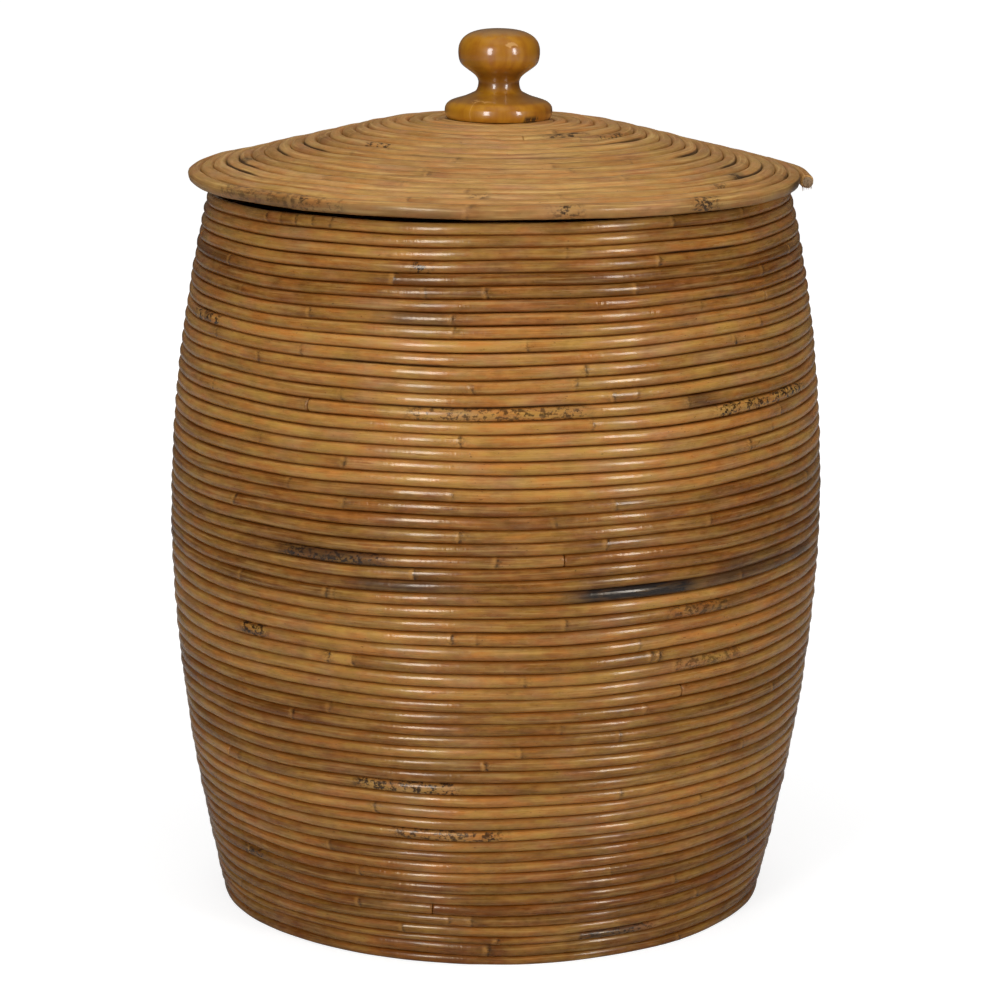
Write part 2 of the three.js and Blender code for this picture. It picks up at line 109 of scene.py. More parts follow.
# How a cane grew: how far apart its nodes are, the ring, lip, shade and scar at each, how its tone
# and thickness change along it, and how far it bows, ripples and strays from level. A wave of the
# straying has a share, a pace round the basket, a pace up it and a start.
NODE_SPACING = (0.16, 0.62)
NODE_STRENGTH = (0.45, 1.1)
FRONT_SHARE = 0.5
RING_PLACE, RING_REACH = 0.0004, 0.0009
RING_UNEVENNESS = 0.5
LIP_PLACE, LIP_REACH = -0.0018, 0.0015
NODE_SHADE_REACH = 0.018
NODE_SCAR, NODE_SCAR_REACH = 0.5, 0.004
TONE_SPREAD = 0.36
WARMTH_SPREAD = 0.7
SLIMMING = 0.03
SLIMMING_PACES = (9, 23)
WANDER = 0.00045
WANDER_WAVES = [(1, 3, 40, 1), (0.7, 5, -65, 0), (0.5, 11, 23, 2)]
BOW, BOW_LENGTH = 0.00025, 0.090
RIPPLE, RIPPLE_LENGTH = 0.00008, 0.034

# What growth, handling and age have left on the side that the photograph shows, which reaches 74
# degrees either way, and some painted light given as pale stretches. Places are in degrees to the right
# of the front and in metres above the floor. A blemish runs from one angle to another, and its last
# number is its strength.
WALL_FRONT = 74
WALL_NODES = [
    (34, 0.469), (30, 0.447), (-59, 0.436), (-19, 0.437), (25, 0.432), (-53, 0.423), (-2, 0.430),
    (38, 0.418), (-35, 0.415), (-8, 0.416), (-8, 0.409), (46, 0.393), (-36, 0.394), (5, 0.401),
    (-46, 0.385), (-46, 0.379), (15, 0.385), (-59, 0.361), (-4, 0.378), (13, 0.377), (-27, 0.370),
    (24, 0.369), (34, 0.362), (-6, 0.343), (-44, 0.329), (48, 0.327), (-26, 0.321), (-37, 0.312),
    (-26, 0.303), (-50, 0.290), (20, 0.303), (38, 0.288), (10, 0.294), (-6, 0.287), (0, 0.271),
    (-48, 0.245), (-29, 0.248), (-47, 0.214), (-7, 0.223), (-3, 0.222), (27, 0.205), (-24, 0.206),
    (-29, 0.199), (32, 0.197), (59, 0.164), (-29, 0.171), (-37, 0.157), (22, 0.156), (-53, 0.124),
    (5, 0.146), (-50, 0.116), (-1, 0.139), (23, 0.115), (-21, 0.106), (-31, 0.075), (-54, 0.053),
    (23, 0.062), (38, 0.048), (-62, 0.020), (45, 0.031), (-26, 0.041), (-8, 0.033), (-17, 0.026),
    (1, 0.012),
    (-49, 0.470), (-45, 0.470), (-41, 0.470), (-37, 0.470), (-33, 0.470),
    (-71, 0.396), (-68, 0.396), (-66, 0.395), (-63, 0.394), (-60, 0.393),
]
WALL_BLEMISHES = {
    "stain": [
        (13, 36, 0.247, 1.0), (34, 72, 0.245, 0.55), (-24, -7, 0.255, 0.55), (-38, -18, 0.264, 0.5),
        (-20, -8, 0.415, 0.5), (18, 31, 0.016, 0.6), (34, 41, 0.362, 0.5), (40, 56, 0.253, 0.35),
    ],
    "scar": [
        (-38, -18, 0.266, 1.0), (-15.5, -12.5, 0.445, 1.3), (-15, 15, 0.361, 0.8),
        (40, 69, 0.352, 1.0), (-25, -6, 0.123, 1.0), (-18, 2, 0.090, 0.9), (-72, -59, 0.395, 1.1),
        (18, 34, 0.013, 1.0), (32, 47, 0.197, 0.6), (30, 44, 0.233, 0.7), (-48, -42, 0.214, 1.1),
        (-56, -49, 0.053, 1.0),
    ],
    "seam": [
        (31, 49, 0.456, 1.0), (38, 47, 0.421, 1.0), (4, 20, 0.038, 1.0), (-40, -10, 0.267, 1.0),
        (-14, 12, 0.101, 0.8), (-30, -8, 0.389, 0.8), (36, 60, 0.243, 0.9), (-66, -40, 0.283, 0.8),
        (-20, 14, 0.365, 0.9),
    ],
    "pale": [
        (-23, -6, 0.123, 0.9), (-2, 8, 0.430, 0.5), (-33, -24, 0.206, 0.9), (13, 22, 0.385, 0.7),
        (-8, -3, 0.343, 0.8), (0, 4, 0.354, 0.9), (-60, -35, 0.36, 0.6), (24, 40, 0.235, 0.6),
        # Painted light from here to the end of the list: a brighter upper left just under the lid, and
        # a pool of light low on the front
        (-72, -20, 0.469, 0.4), (-75, -18, 0.461, 0.6), (-75, -16, 0.453, 0.8),
        (-75, -18, 0.445, 0.7), (-10, 12, 0.088, 0.4), (-14, 14, 0.080, 0.5),
        (-12, 16, 0.072, 0.5), (-14, 12, 0.064, 0.4), (-10, 14, 0.145, 0.4),
    ],
}
BLEMISH_FADE = {"stain": 0.022, "scar": 0.006, "seam": 0.012, "pale": 0.005}
PALE_LIFT = 1.5

# How dark the courses are at each height above the floor, in steps of tone
WALL_SHADING = [
    (0, 1.0), (0.03, 1.0), (0.090, 0.9), (0.107, -0.75), (0.127, 0.2), (0.145, 0), (0.165, 0.9),
    (0.184, -0.4), (0.222, -0.4), (0.241, 0.6), (0.260, 0.45), (0.279, 0.8), (0.299, 0.5),
    (0.318, -0.6), (0.337, -1.5), (0.356, -0.2), (0.375, -0.1), (0.394, -0.65), (0.413, -0.1),
    (0.432, 1.4), (0.451, 0.45), (0.470, 0.25),
]

# A loose end springs outwards and down over its last stretch, and is pale right at the cut.
SPRUNG_REACH = 0.020
SPRUNG_OUT = 0.0016
SPRUNG_DOWN = 0.0022
CUT_END_SHARE = 0.97
CUT_END_LIFT = 2.0


def line_through(radii, heights):
    run = np.concatenate([[0], np.cumsum(np.hypot(np.diff(radii), np.diff(heights)))])
    slope_out = np.gradient(radii, run)
    slope_up = np.gradient(heights, run)
    return {"run": run, "radius": radii, "height": heights, "across": (slope_out, slope_up)}


def wall_radius(height):
    below = height < BELLY_HEIGHT
    end = np.where(below, FOOT_RADIUS, MOUTH_RADIUS)
    reach = np.where(below, BELLY_HEIGHT, WALL_HEIGHT - BELLY_HEIGHT)
    fullness = np.where(below, LOWER_FULLNESS, UPPER_FULLNESS)
    return BELLY_RADIUS - (BELLY_RADIUS - end) * (np.abs(height - BELLY_HEIGHT) / reach) ** fullness


def laid(line, distance, thickness, width, first_angle, way, faced=False, **also):
    """A coil as arrays over its sixteenths of a turn. A faced one keeps its outside on the line."""
    distance = np.asarray(distance)
    across = [np.interp(distance, line["run"], part) for part in line["across"]]
    out = (across[1], -across[0])
    back = np.asarray(width) / 2 if faced else 0
    return {
        "turn": np.arange(len(distance)) / STEPS,
        "radius": np.interp(distance, line["run"], line["radius"]) - back * out[0],
        "height": np.interp(distance, line["run"], line["height"]) - back * out[1],
        "out_level": out[0],
        "out_up": out[1],
        "half_across": np.asarray(thickness) / 2,
        "half_out": np.asarray(width) / 2,
        "first_angle": first_angle,
        "way": way,
        **also,
    }


def wind(begin, thickness_at, count, skived):
    """Distance, thickness and width of a coil's courses. Each lies on the one a turn before."""
    distance, thickness, width = [], [], []
    for k in range(count):
        below = k - STEPS
        wide = thickness_at(distance[below] + thickness[below] if below >= 0 else begin)
        grown = min(k / STEPS, 1) if skived else 1
        thick = SKIVED_TIP + (wide - SKIVED_TIP) * grown
        if below >= 0:
            distance.append(distance[below] + (thickness[below] + thick) / 2)
        else:
            distance.append(begin + thick / 2 + (0 if skived else thick * k / STEPS))
        thickness.append(thick)
        width.append(wide)
    return distance, thickness, width


def at(coil, key, turn):
    return np.interp(turn, coil["turn"], coil[key])


def finished_mesh(name, bm):
    mesh = bpy.data.meshes.new(name)
    bm.to_mesh(mesh)
    bm.free()
    return mesh


def new_piece(name, mesh):
    piece = bpy.data.objects.new(name, mesh)
    bpy.context.scene.collection.objects.link(piece)
    return piece


def straight_rod(name, rings):
    """A closed round rod, one unit in radius and in length, with that many rings of points"""
    bm = bmesh.new()
    bmesh.ops.create_cone(bm, cap_ends=True, segments=CANE_SIDES, radius1=1, radius2=1, depth=1)
    lengthways = [edge for edge in bm.edges if abs(edge.verts[0].co.z - edge.verts[1].co.z) > 0.5]
    bmesh.ops.subdivide_edges(bm, edges=lengthways, cuts=rings - 2)
    for face in bm.faces:
        face.smooth = len(face.verts) == 4
    return finished_mesh(name, bm)


def rings_along(coil, first, last, nodes):
    """The turn counts of a cane's rings, closer together at its nodes and its cut ends"""
    girth = 2 * math.pi * at(coil, "radius", (first + last) / 2)
    even = np.linspace(first, last, math.ceil((last - first) * girth / CANE_STEP))
    close = [first + END_RINGS / girth, last - END_RINGS / girth]
    close += [node + NODE_RINGS / girth for node in nodes]
    near = np.concatenate(close)
    lonely = np.abs(even[:, None] - near[None, :]).min(1) > CANE_STEP / 2 / girth
    return np.unique(np.clip(np.concatenate([even[lonely], near]), first, last)), girth


def bell(distance, reach):
    return np.exp(-((distance / reach) ** 2))


def wandering(angle, height):
    """How far the courses stray from level, alike in neighbouring courses"""
    return WANDER * sum(
        share * np.sin(around * angle + upwards * height + start)
        for share, around, upwards, start in WANDER_WAVES
    )


def turn_at(coil, side, key, level):
    """The turn at which a coil passes an angle from the front nearest to a height or a radius"""
    start = ((math.radians(side - 90) - coil["first_angle"]) * coil["way"] / (2 * math.pi)) % 1
    passes = np.arange(start, coil["turn"][-1], 1)
    return passes[np.argmin(np.abs(at(coil, key, passes) - level))]


def mark_coil(coil, key, front, nodes, blemishes):
    """Puts the nodes and blemishes of the side that the photograph shows at their turns"""
    coil["front"] = front
    coil["nodes"] = [turn_at(coil, side, key, level) for side, level in nodes]
    coil["blemishes"] = {kind: [] for kind in blemishes}
    for kind, places in blemishes.items():
        for begin, end, level, strength in places:
            middle = turn_at(coil, (begin + end) / 2, key, level)
            half = (end - begin) / 360 / 2
            coil["blemishes"][kind].append((middle - half, middle + half, strength))


def own_nodes(random, coil, first, last):
    """A cane's nodes: the marked ones at the front, and others at uneven distances, fewer there"""
    front = math.radians(coil.get("front", 0))
    nodes = []
    place = first
    while True:
        place += random.uniform(*NODE_SPACING) / (2 * math.pi * at(coil, "radius", place))
        if place > last:
            break
        from_front = coil["first_angle"] + coil["way"] * 2 * math.pi * place + math.pi / 2
        kept = random.random() < FRONT_SHARE
        if kept or math.cos(from_front) < math.cos(front):
            nodes.append(place)
    return np.sort(nodes + [place for place in coil.get("nodes", []) if first < place < last])


def blemish(coil, kind, turn, girth):
    """How strongly each turn count is marked by one kind of blemish"""
    share = np.zeros(len(turn))
    for begin, end, strength in coil.get("blemishes", {}).get(kind, []):
        inside = np.minimum(turn - begin, end - turn) * girth / BLEMISH_FADE[kind] + 0.5
        share = np.maximum(share, strength * np.clip(inside, 0, 1))
    return share


def store(mesh, straight, marks):
    """Gives each point its place on the straight rod and its marks, for the cane finish to read"""
    places = mesh.attributes.new("straight", "FLOAT_VECTOR", "POINT")
    places.data.foreach_set("vector", straight.ravel())
    for mark, values in marks.items():
        mesh.attributes.new(mark, "FLOAT", "POINT").data.foreach_set("value", values)


def lay_cane(name, coil, first, last, seed, floor=None):
    """Bends a straight rod round into the stretch of the coil from one turn count to another"""
    random = np.random.default_rng(seed)
    nodes = own_nodes(random, coil, first, last)
    tones = random.normal(0, TONE_SPREAD, len(nodes) + 1) + random.normal(0, TONE_SPREAD / 2)
    warmths = random.normal(0, WARMTH_SPREAD, len(nodes) + 1)
    slants = random.uniform(-1, 1, len(nodes))
    strengths = random.uniform(*NODE_STRENGTH, len(nodes))
    phases = random.uniform(0, 2 * math.pi, 4)
    turns, girth = rings_along(coil, first, last, nodes)
    mesh = straight_rod(name, len(turns))
    rod = np.empty(len(mesh.vertices) * 3)
    mesh.vertices.foreach_get("co", rod)
    rod = rod.reshape(-1, 3)
    ring = np.rint((rod[:, 2] + 0.5) * (len(turns) - 1)).astype(int)
    power = 2 / coil.get("squareness", SQUARENESS)
    out_share = np.sign(rod[:, 0]) * np.abs(rod[:, 0]) ** power
    across_share = -coil["way"] * np.sign(rod[:, 1]) * np.abs(rod[:, 1]) ** power

    turn = turns[ring]
    stretch = np.searchsorted(nodes, turn - HAIR)
    nearest = np.full(len(turn), 1.0)
    slant = np.zeros(len(turn))
    strength = np.zeros(len(turn))
    for node, lean, strong in zip(nodes, slants, strengths):
        gap = (turn - node) * girth
        closer = np.abs(gap) < np.abs(nearest)
        nearest = np.where(closer, gap, nearest)
        uneven = strong * (1 + RING_UNEVENNESS * lean * across_share)
        strength = np.where(closer, uneven, strength)
        slant += lean * bell(gap, 2 * NODE_REACH)
    end_gap = np.minimum(turn - first, last - turn) * girth
    size = np.interp(end_gap, END_RINGS, END_ROUNDING)
    size *= 1 + NODE_SWELLING * bell(nearest, NODE_REACH)
    slow, quick = (np.sin(turn * pace + phase) for pace, phase in zip(SLIMMING_PACES, phases))
    size *= FULLNESS - SLIMMING * (0.5 + 0.5 * slow * quick)

    bent = turn + NODE_SLANT * slant * (out_share + across_share) / girth
    angle = coil["first_angle"] + coil["way"] * 2 * math.pi * bent
    out = out_share * at(coil, "half_out", turn) * size
    out += BOW * np.sin(2 * math.pi * turn * girth / BOW_LENGTH + phases[2])
    out += RIPPLE * np.sin(2 * math.pi * turn * girth / RIPPLE_LENGTH + phases[3])
    across = across_share * at(coil, "half_across", turn) * size
    level, up = at(coil, "out_level", turn), at(coil, "out_up", turn)
    stray = wandering(angle, at(coil, "height", turn))
    sprung = np.clip(1 - turn * girth / SPRUNG_REACH, 0, 1) ** 2 * coil.get("sprung", 0)
    radius = at(coil, "radius", turn) + out * level - (across + stray) * up + SPRUNG_OUT * sprung
    height = at(coil, "height", turn) + out * up + (across + stray) * level - SPRUNG_DOWN * sprung
    if floor is not None:
        height = np.maximum(height, floor)
    place = np.stack([radius * np.cos(angle), radius * np.sin(angle), height], 1)
    mesh.vertices.foreach_set("co", place.ravel())
    mesh.transform(coil.get("place", LEANING))
    mesh.update()

    straight = np.stack([turn * girth, out_share * NOMINAL_RADIUS, across_share * NOMINAL_RADIUS], 1)
    # A course's side that touches no other course is bare: its groove gets neither dirt nor painted
    # shade
    low_free, high_free = coil.get("free", (False, False))
    first_turn, last_turn = turn < 1, turn > coil["turn"][-1] - 1
    bare = np.where(across_share < 0, low_free & first_turn, high_free & last_turn)
    shading = np.interp(at(coil, "height", turn), *zip(*coil.get("shading", [(0, 0)])))
    collar = NODE_SCAR * bell(nearest, NODE_SCAR_REACH) * strength
    tone = tones[stretch] + shading - PALE_LIFT * blemish(coil, "pale", turn, girth)
    store(mesh, straight, {
        "tone": tone - CUT_END_LIFT * (sprung > CUT_END_SHARE),
        "warmth": warmths[stretch],
        "ring": bell(nearest - RING_PLACE, RING_REACH) * strength,
        "lip": bell(nearest - LIP_PLACE, LIP_REACH) * strength,
        "shade": bell(nearest, NODE_SHADE_REACH) * strength,
        "stain": blemish(coil, "stain", turn, girth),
        "scar": np.maximum(blemish(coil, "scar", turn, girth), collar),
        "seam": blemish(coil, "seam", turn, girth) * (across_share < 0),
        "bare": bare.astype(float),
    })
    return new_piece(name, mesh)


def new_material(name):
    material = bpy.data.materials.new(name)
    material.use_nodes = True
    return material, material.node_tree, material.node_tree.nodes["Principled BSDF"]


def add(tree, kind, inputs=(), **settings):
    """A node with its settings, and with its inputs set to a value or joined to a socket"""
    made = tree.nodes.new(kind)
    for key, value in settings.items():
        setattr(made, key, value)
    for key, value in dict(inputs).items():
        if isinstance(value, bpy.types.NodeSocket):
            tree.links.new(value, made.inputs[key])
        else:
            made.inputs[key].default_value = value
    return made


def attribute(tree, name, output="Fac"):
    return add(tree, "ShaderNodeAttribute", attribute_name=name).outputs[output]


def noise(tree, vector, scale, detail=2.0, stretch=(1, 1, 1), roughness=0.55):
    mapped = add(tree, "ShaderNodeMapping", {"Vector": vector, "Scale": stretch}).outputs[0]
    inputs = {"Vector": mapped, "Scale": scale, "Detail": detail, "Roughness": roughness}
    return add(tree, "ShaderNodeTexNoise", inputs).outputs["Fac"]


def spread(tree, value, low, high, to_low=0.0, to_high=1.0):
    inputs = {"Value": value, 1: low, 2: high, 3: to_low, 4: to_high}
    return add(tree, "ShaderNodeMapRange", inputs, interpolation_type="SMOOTHSTEP").outputs[0]


def swung(tree, pattern, reach):
    """A pattern spread evenly about nought, as far as the reach either way"""
    return spread(tree, pattern, 0.3, 0.7, -reach, reach)


def reckon(tree, operation, first, second=0.0, third=0.0):
    inputs = {0: first, 1: second, 2: third}
    return add(tree, "ShaderNodeMath", inputs, operation=operation).outputs[0]


def times(tree, first, second):
    return reckon(tree, "MULTIPLY", first, second)


def mixed(tree, share, first, second, blend="MIX"):
    inputs = {0: share, 6: first, 7: second}
    return add(tree, "ShaderNodeMix", inputs, data_type="RGBA", blend_type=blend).outputs[2]


def clamped(tree, value):
    return add(tree, "ShaderNodeClamp", {"Value": value}).outputs[0]


# The patterns of the bark, laid out along the straight rod: each one's scale per metre, its
# detail, its stretch along, out of and across the rod, and its roughness
CANE_PATTERNS = {
    "fibre": (1800, 2, (0.012, 1, 1)),
    "mottle": (260, 3, (0.16, 1, 1)),
    "drift": (11, 3),
    "cloud": (34, 2, (0.5, 1, 1)),
    "speck": (900, 1, (0.40, 1, 1)),
    "dash": (700, 2, (0.10, 1, 1)),
    "chip": (420, 3, (0.8, 1, 1), 0.7),
    "bloom": (21, 2),
    "streak": (650, 2, (0.03, 1, 1)),
    "patch": (330, 3, (0.45, 1, 1)),
    "tint": (210, 3, (0.30, 1, 1)),
    "ripple": (480, 2, (1, 0.3, 0.3)),
}
MIDDLE_DEPTH, TONE_DEPTH, NODE_DEPTH = 0.44, 0.26, 0.20
PATTERN_DEPTHS = {"fibre": 0.22, "mottle": 0.28, "drift": 0.30, "patch": 0.22}
CLOUD_HUE, TINT_HUE, WARMTH_HUE = 0.5, 0.9, 0.3
RUSSET = (1.04, 0.86, 0.76, 1)
KHAKI = (0.97, 1.09, 1.0, 1)
MAUVE = (0.93, 0.95, 1.6, 1)
BLEACHED = (0.74, 0.47, 0.17, 1)
AMBER_TINT = (1, 0.87, 0.70, 1)
SOOT = (0.022, 0.017, 0.016, 1)
# How far from a rod's middle the dirt and painted shade of its grooves begin and end, and how much that
# wavers
DIRT_AND_SHADE_REACH = (0.66 * NOMINAL_RADIUS, 1.02 * NOMINAL_RADIUS)
DIRT_AND_SHADE_WAVER = 0.0006
SEAM_REACH = (0.6 * NOMINAL_RADIUS, 0.85 * NOMINAL_RADIUS)
BARK_RELIEF = 0.00012
COAT_ROUGHNESS = 0.09


def bark_color(tree, look, pale, deep, swing, bleach):
    """Clean bark: darker and paler, redder, greener and greyer by turns, with bleached streaks"""
    depth = reckon(tree, "MULTIPLY_ADD", attribute(tree, "tone"), TONE_DEPTH, MIDDLE_DEPTH)
    for pattern, share in PATTERN_DEPTHS.items():
        depth = reckon(tree, "MULTIPLY_ADD", swung(tree, getattr(look, pattern), 0.5), share, depth)
    depth = reckon(tree, "MULTIPLY_ADD", attribute(tree, "shade"), NODE_DEPTH, depth)
    color = mixed(tree, clamped(tree, depth), pale, deep)
    hue = swung(tree, look.cloud, CLOUD_HUE * swing)
    hue = reckon(tree, "ADD", hue, swung(tree, look.tint, TINT_HUE * swing))
    hue = reckon(tree, "MULTIPLY_ADD", attribute(tree, "warmth"), WARMTH_HUE * swing, hue)
    color = mixed(tree, clamped(tree, hue), color, RUSSET, "MULTIPLY")
    color = mixed(tree, clamped(tree, times(tree, hue, -1)), color, KHAKI, "MULTIPLY")
    color = mixed(tree, spread(tree, look.bloom, 0.45, 0.72, 0, 0.8 * swing), color, MAUVE, "MULTIPLY")
    return mixed(tree, spread(tree, look.streak, 0.52, 0.68, 0, bleach), color, BLEACHED)


def groove_dirt(tree, look, sideways, dirt_and_shade_strength):
    """Dirt and painted shade between two courses. A side that lies free has none."""
    away = reckon(tree, "ABSOLUTE", sideways)
    away = reckon(tree, "MULTIPLY_ADD", swung(tree, look.cloud, 0.5), DIRT_AND_SHADE_WAVER, away)
    dirt_and_shade = spread(tree, away, *DIRT_AND_SHADE_REACH, 0, dirt_and_shade_strength)
    return times(tree, dirt_and_shade, reckon(tree, "SUBTRACT", 1, attribute(tree, "bare")))


def cane_material(
    name, pale, deep, groove, grime, roughness, coat, swing=1, dirt_and_shade_strength=0.8, bleach=0.2, ringed=0.85
):
    """Cane bark: fibres and mottling along the rod, node rings, stains, scars, and grooves soiled and
    darkened with painted shade
    """
    material, tree, shader = new_material(name)
    straight = attribute(tree, "straight", "Vector")
    patterns = {key: noise(tree, straight, *shape) for key, shape in CANE_PATTERNS.items()}
    look = SimpleNamespace(**patterns)
    sideways = add(tree, "ShaderNodeSeparateXYZ", {0: straight}).outputs[2]

    color = bark_color(tree, look, pale, deep, swing, bleach)
    color = mixed(tree, spread(tree, look.speck, 0.72, 0.80, 0, 0.6), color, grime)
    color = mixed(tree, spread(tree, look.dash, 0.66, 0.76, 0, 0.45), color, groove)
    color = mixed(tree, times(tree, attribute(tree, "lip"), 0.6), color, pale)
    broken = spread(tree, look.chip, 0.38, 0.60, 0.35 * ringed, ringed)
    ring = attribute(tree, "ring")
    color = mixed(tree, times(tree, ring, broken), color, grime)
    # The grooves between courses darken with dirt and with painted shade where the courses meet
    dirt_and_shade = groove_dirt(tree, look, sideways, dirt_and_shade_strength)
    color = mixed(tree, dirt_and_shade, color, groove)

    crack = spread(tree, times(tree, sideways, -1), *SEAM_REACH)
    crack = times(tree, crack, attribute(tree, "seam"))
    color = mixed(tree, clamped(tree, crack), color, grime)
    scarred = spread(tree, look.chip, 0.47, 0.60, 0, 0.95)
    scarred = times(tree, scarred, attribute(tree, "scar"))
    color = mixed(tree, clamped(tree, scarred), color, grime)
    stained = spread(tree, look.mottle, 0.25, 0.6, 0.75, 1.1)
    stained = times(tree, stained, attribute(tree, "stain"))
    color = mixed(tree, clamped(tree, stained), color, SOOT)
    tree.links.new(color, shader.inputs["Base Color"])

    rough = spread(tree, look.mottle, 0.3, 0.75, roughness - 0.08, roughness + 0.10)
    rough = reckon(tree, "MULTIPLY_ADD", dirt_and_shade, 0.3, rough)
    tree.links.new(rough, shader.inputs["Roughness"])
    rippled = times(tree, look.ripple, spread(tree, look.cloud, 0.35, 0.65, 1.5, 6))
    height = reckon(tree, "MULTIPLY_ADD", look.mottle, 2.0, look.fibre)
    height = reckon(tree, "ADD", height, rippled)
    for hollow in (ring, scarred):
        height = reckon(tree, "MULTIPLY_ADD", hollow, -1.5, height)
    bump = add(tree, "ShaderNodeBump", {"Height": height, "Strength": 0.4, "Distance": BARK_RELIEF})
    tree.links.new(bump.outputs[0], shader.inputs["Normal"])
    shader.inputs["Specular Tint"].default_value = AMBER_TINT
    shader.inputs["Coat Weight"].default_value = coat
    shader.inputs["Coat Roughness"].default_value = COAT_ROUGHNESS
    return material


def dress(piece, material, body, slot, *nodes):
    """Gives a piece its finish and its body, and lets it stand for the solids of its nodes"""
    piece.data.materials.append(material)
    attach(piece, body)
    if nodes:
        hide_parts(*nodes)


wall_cane_finish = cane_material(
    "varnished_cane",
    pale=(0.55, 0.262, 0.062, 1),
    deep=(0.17, 0.058, 0.008, 1),
    groove=(0.235, 0.062, 0.001, 1),
    grime=(0.030, 0.012, 0.005, 1),
    roughness=0.25,
    coat=0.26,
)


def wall_thickness(distance):
    marks, sizes = zip(*WALL_THICKNESS)
    return float(np.interp(distance, marks, sizes))


wall_heights = np.linspace(0, WALL_HEIGHT, LINE_POINTS)
wall_line = line_through(wall_radius(wall_heights), wall_heights)
foot_half = (FOOT_HOOP_THICKNESS - COURSE_GAP) / 2
lean_out, lean_up = (part[0] for part in wall_line["across"])
lean_rise = BASE_HOOP_THICKNESS / 4 * lean_out
base_hoop_distance = (2 * foot_half + BUTT_GAP - lean_rise) / lean_up
base_hoop_distance += (BASE_HOOP_THICKNESS - COURSE_GAP) / 2
wall_start = WALL_END - WALL_SIXTEENTHS * 2 * math.pi / STEPS
wall_coil = laid(
    wall_line,
    *wind(base_hoop_distance + BASE_HOOP_THICKNESS / 2, wall_thickness, WALL_SIXTEENTHS + 1, True),
    wall_start, 1, faced=True, free=(False, True), shading=WALL_SHADING,
)
mark_coil(wall_coil, "height", WALL_FRONT, WALL_NODES, WALL_BLEMISHES)


def lay_coil(prefix, coil, count, body, slot, material, seed):
    """Lays a coil as butted canes, each standing for the solid of its name"""
    sixteenths = len(coil["turn"]) - 1
    joints = [round((i + 1) * sixteenths / count) + 0.5 for i in range(count - 1)]
    marks = np.array([0, *joints, sixteenths]) / STEPS
    digits = len(str(count))
    for i in range(count):
        name = f"{prefix}_{i + 1:0{digits}}"
        gap = BUTT_GAP / 2 / (2 * math.pi * at(coil, "radius", marks[i]))
        first = marks[i] + (gap if i > 0 else 0)
        last = marks[i + 1] - (gap if i < count - 1 else 0)
        piece = lay_cane(f"{name}_round", coil, first, last, seed + i)
        dress(piece, material, body, slot, name)


lay_coil("wall_cane", wall_coil, WALL_CANES, "basket", "wall_cane", wall_cane_finish, seed=100)

# The two level hoops at the foot. The foot hoop is a thin cane, worn flat where it stands on
# the floor. The base hoop is a stouter cane that leans with the wall and carries the base.
HOOP_END = math.radians(90)
HOOP_SIXTEENTHS = STEPS + 2


def level_hoop(name, radius, height, lean, thickness, material, body, slot, seed, floor=None, **also):
    """One cane bent round into a level ring, with its ends butted"""
    even = {
        "radius": radius, "height": height, "out_level": math.cos(lean), "out_up": math.sin(lean),
        "half_across": thickness / 2, "half_out": thickness / 2,
    }
    hoop = {key: np.full(HOOP_SIXTEENTHS, value) for key, value in even.items()}
    hoop.update(turn=np.arange(HOOP_SIXTEENTHS) / STEPS, first_angle=HOOP_END, way=1, **also)
    gap = BUTT_GAP / 2 / (2 * math.pi * radius)
    first = 0.5 / STEPS + gap
    piece = lay_cane(f"{name}_round", hoop, first, first + 1 - 2 * gap, seed, floor=floor)
    dress(piece, material, body, slot, name)


foot_radius = float(wall_radius(foot_half)) - FOOT_HOOP_THICKNESS / 2
level_hoop("foot_hoop", foot_radius, foot_half, 0, FOOT_HOOP_THICKNESS,
           wall_cane_finish, "basket", "wall_cane", seed=11, floor=0, shading=WALL_SHADING)
base_hoop = laid(wall_line, [base_hoop_distance], [BASE_HOOP_THICKNESS], [BASE_HOOP_THICKNESS],
                 HOOP_END, 1, faced=True)
base_hoop_radius = float(base_hoop["radius"][0])
base_hoop_height = float(base_hoop["height"][0])
base_hoop_lean = math.asin(base_hoop["out_up"][0])
level_hoop("base_hoop", base_hoop_radius, base_hoop_height, base_hoop_lean, BASE_HOOP_THICKNESS,
           wall_cane_finish, "basket", "wall_cane", seed=12, shading=WALL_SHADING)

# The base. A flat spiral of bare, stouter cane inside the base hoop, wound inwards from a
# skived tip and pinned through the hoop. The photograph doesn't show it. A course's back lies at
# the back share of its half thickness, where it is flat in the CAD.
BASE_THICKNESS = 0.010
BASE_SIXTEENTHS = 271
BASE_CANES = 2
BASE_END = math.radians(90)
BACK_SHARE = 0.8

hoop_inside = base_hoop_radius - BACK_SHARE * BASE_HOOP_THICKNESS / 2 * math.cos(base_hoop_lean)
hoop_inside -= abs(math.sin(base_hoop_lean)) * (BASE_HOOP_THICKNESS - COURSE_GAP) / 2
base_radii = np.linspace(hoop_inside - BUTT_GAP + COURSE_GAP / 2, 0, LINE_POINTS)
base_line = line_through(base_radii, np.full(LINE_POINTS, base_hoop_height))
base_coil = laid(
    base_line,
    *wind(0, lambda distance: BASE_THICKNESS, BASE_SIXTEENTHS + 1, True),
    BASE_END, -1,
)
base_cane_finish = cane_material(
    "bare_cane",
    pale=(0.52, 0.33, 0.14, 1),
    deep=(0.26, 0.14, 0.05, 1),
    groove=(0.10, 0.05, 0.015, 1),
    grime=(0.05, 0.028, 0.012, 1),
    roughness=0.55,
    coat=0.0,
)
lay_coil("base_cane", base_coil, BASE_CANES, "basket", "base_cane", base_cane_finish, seed=200)

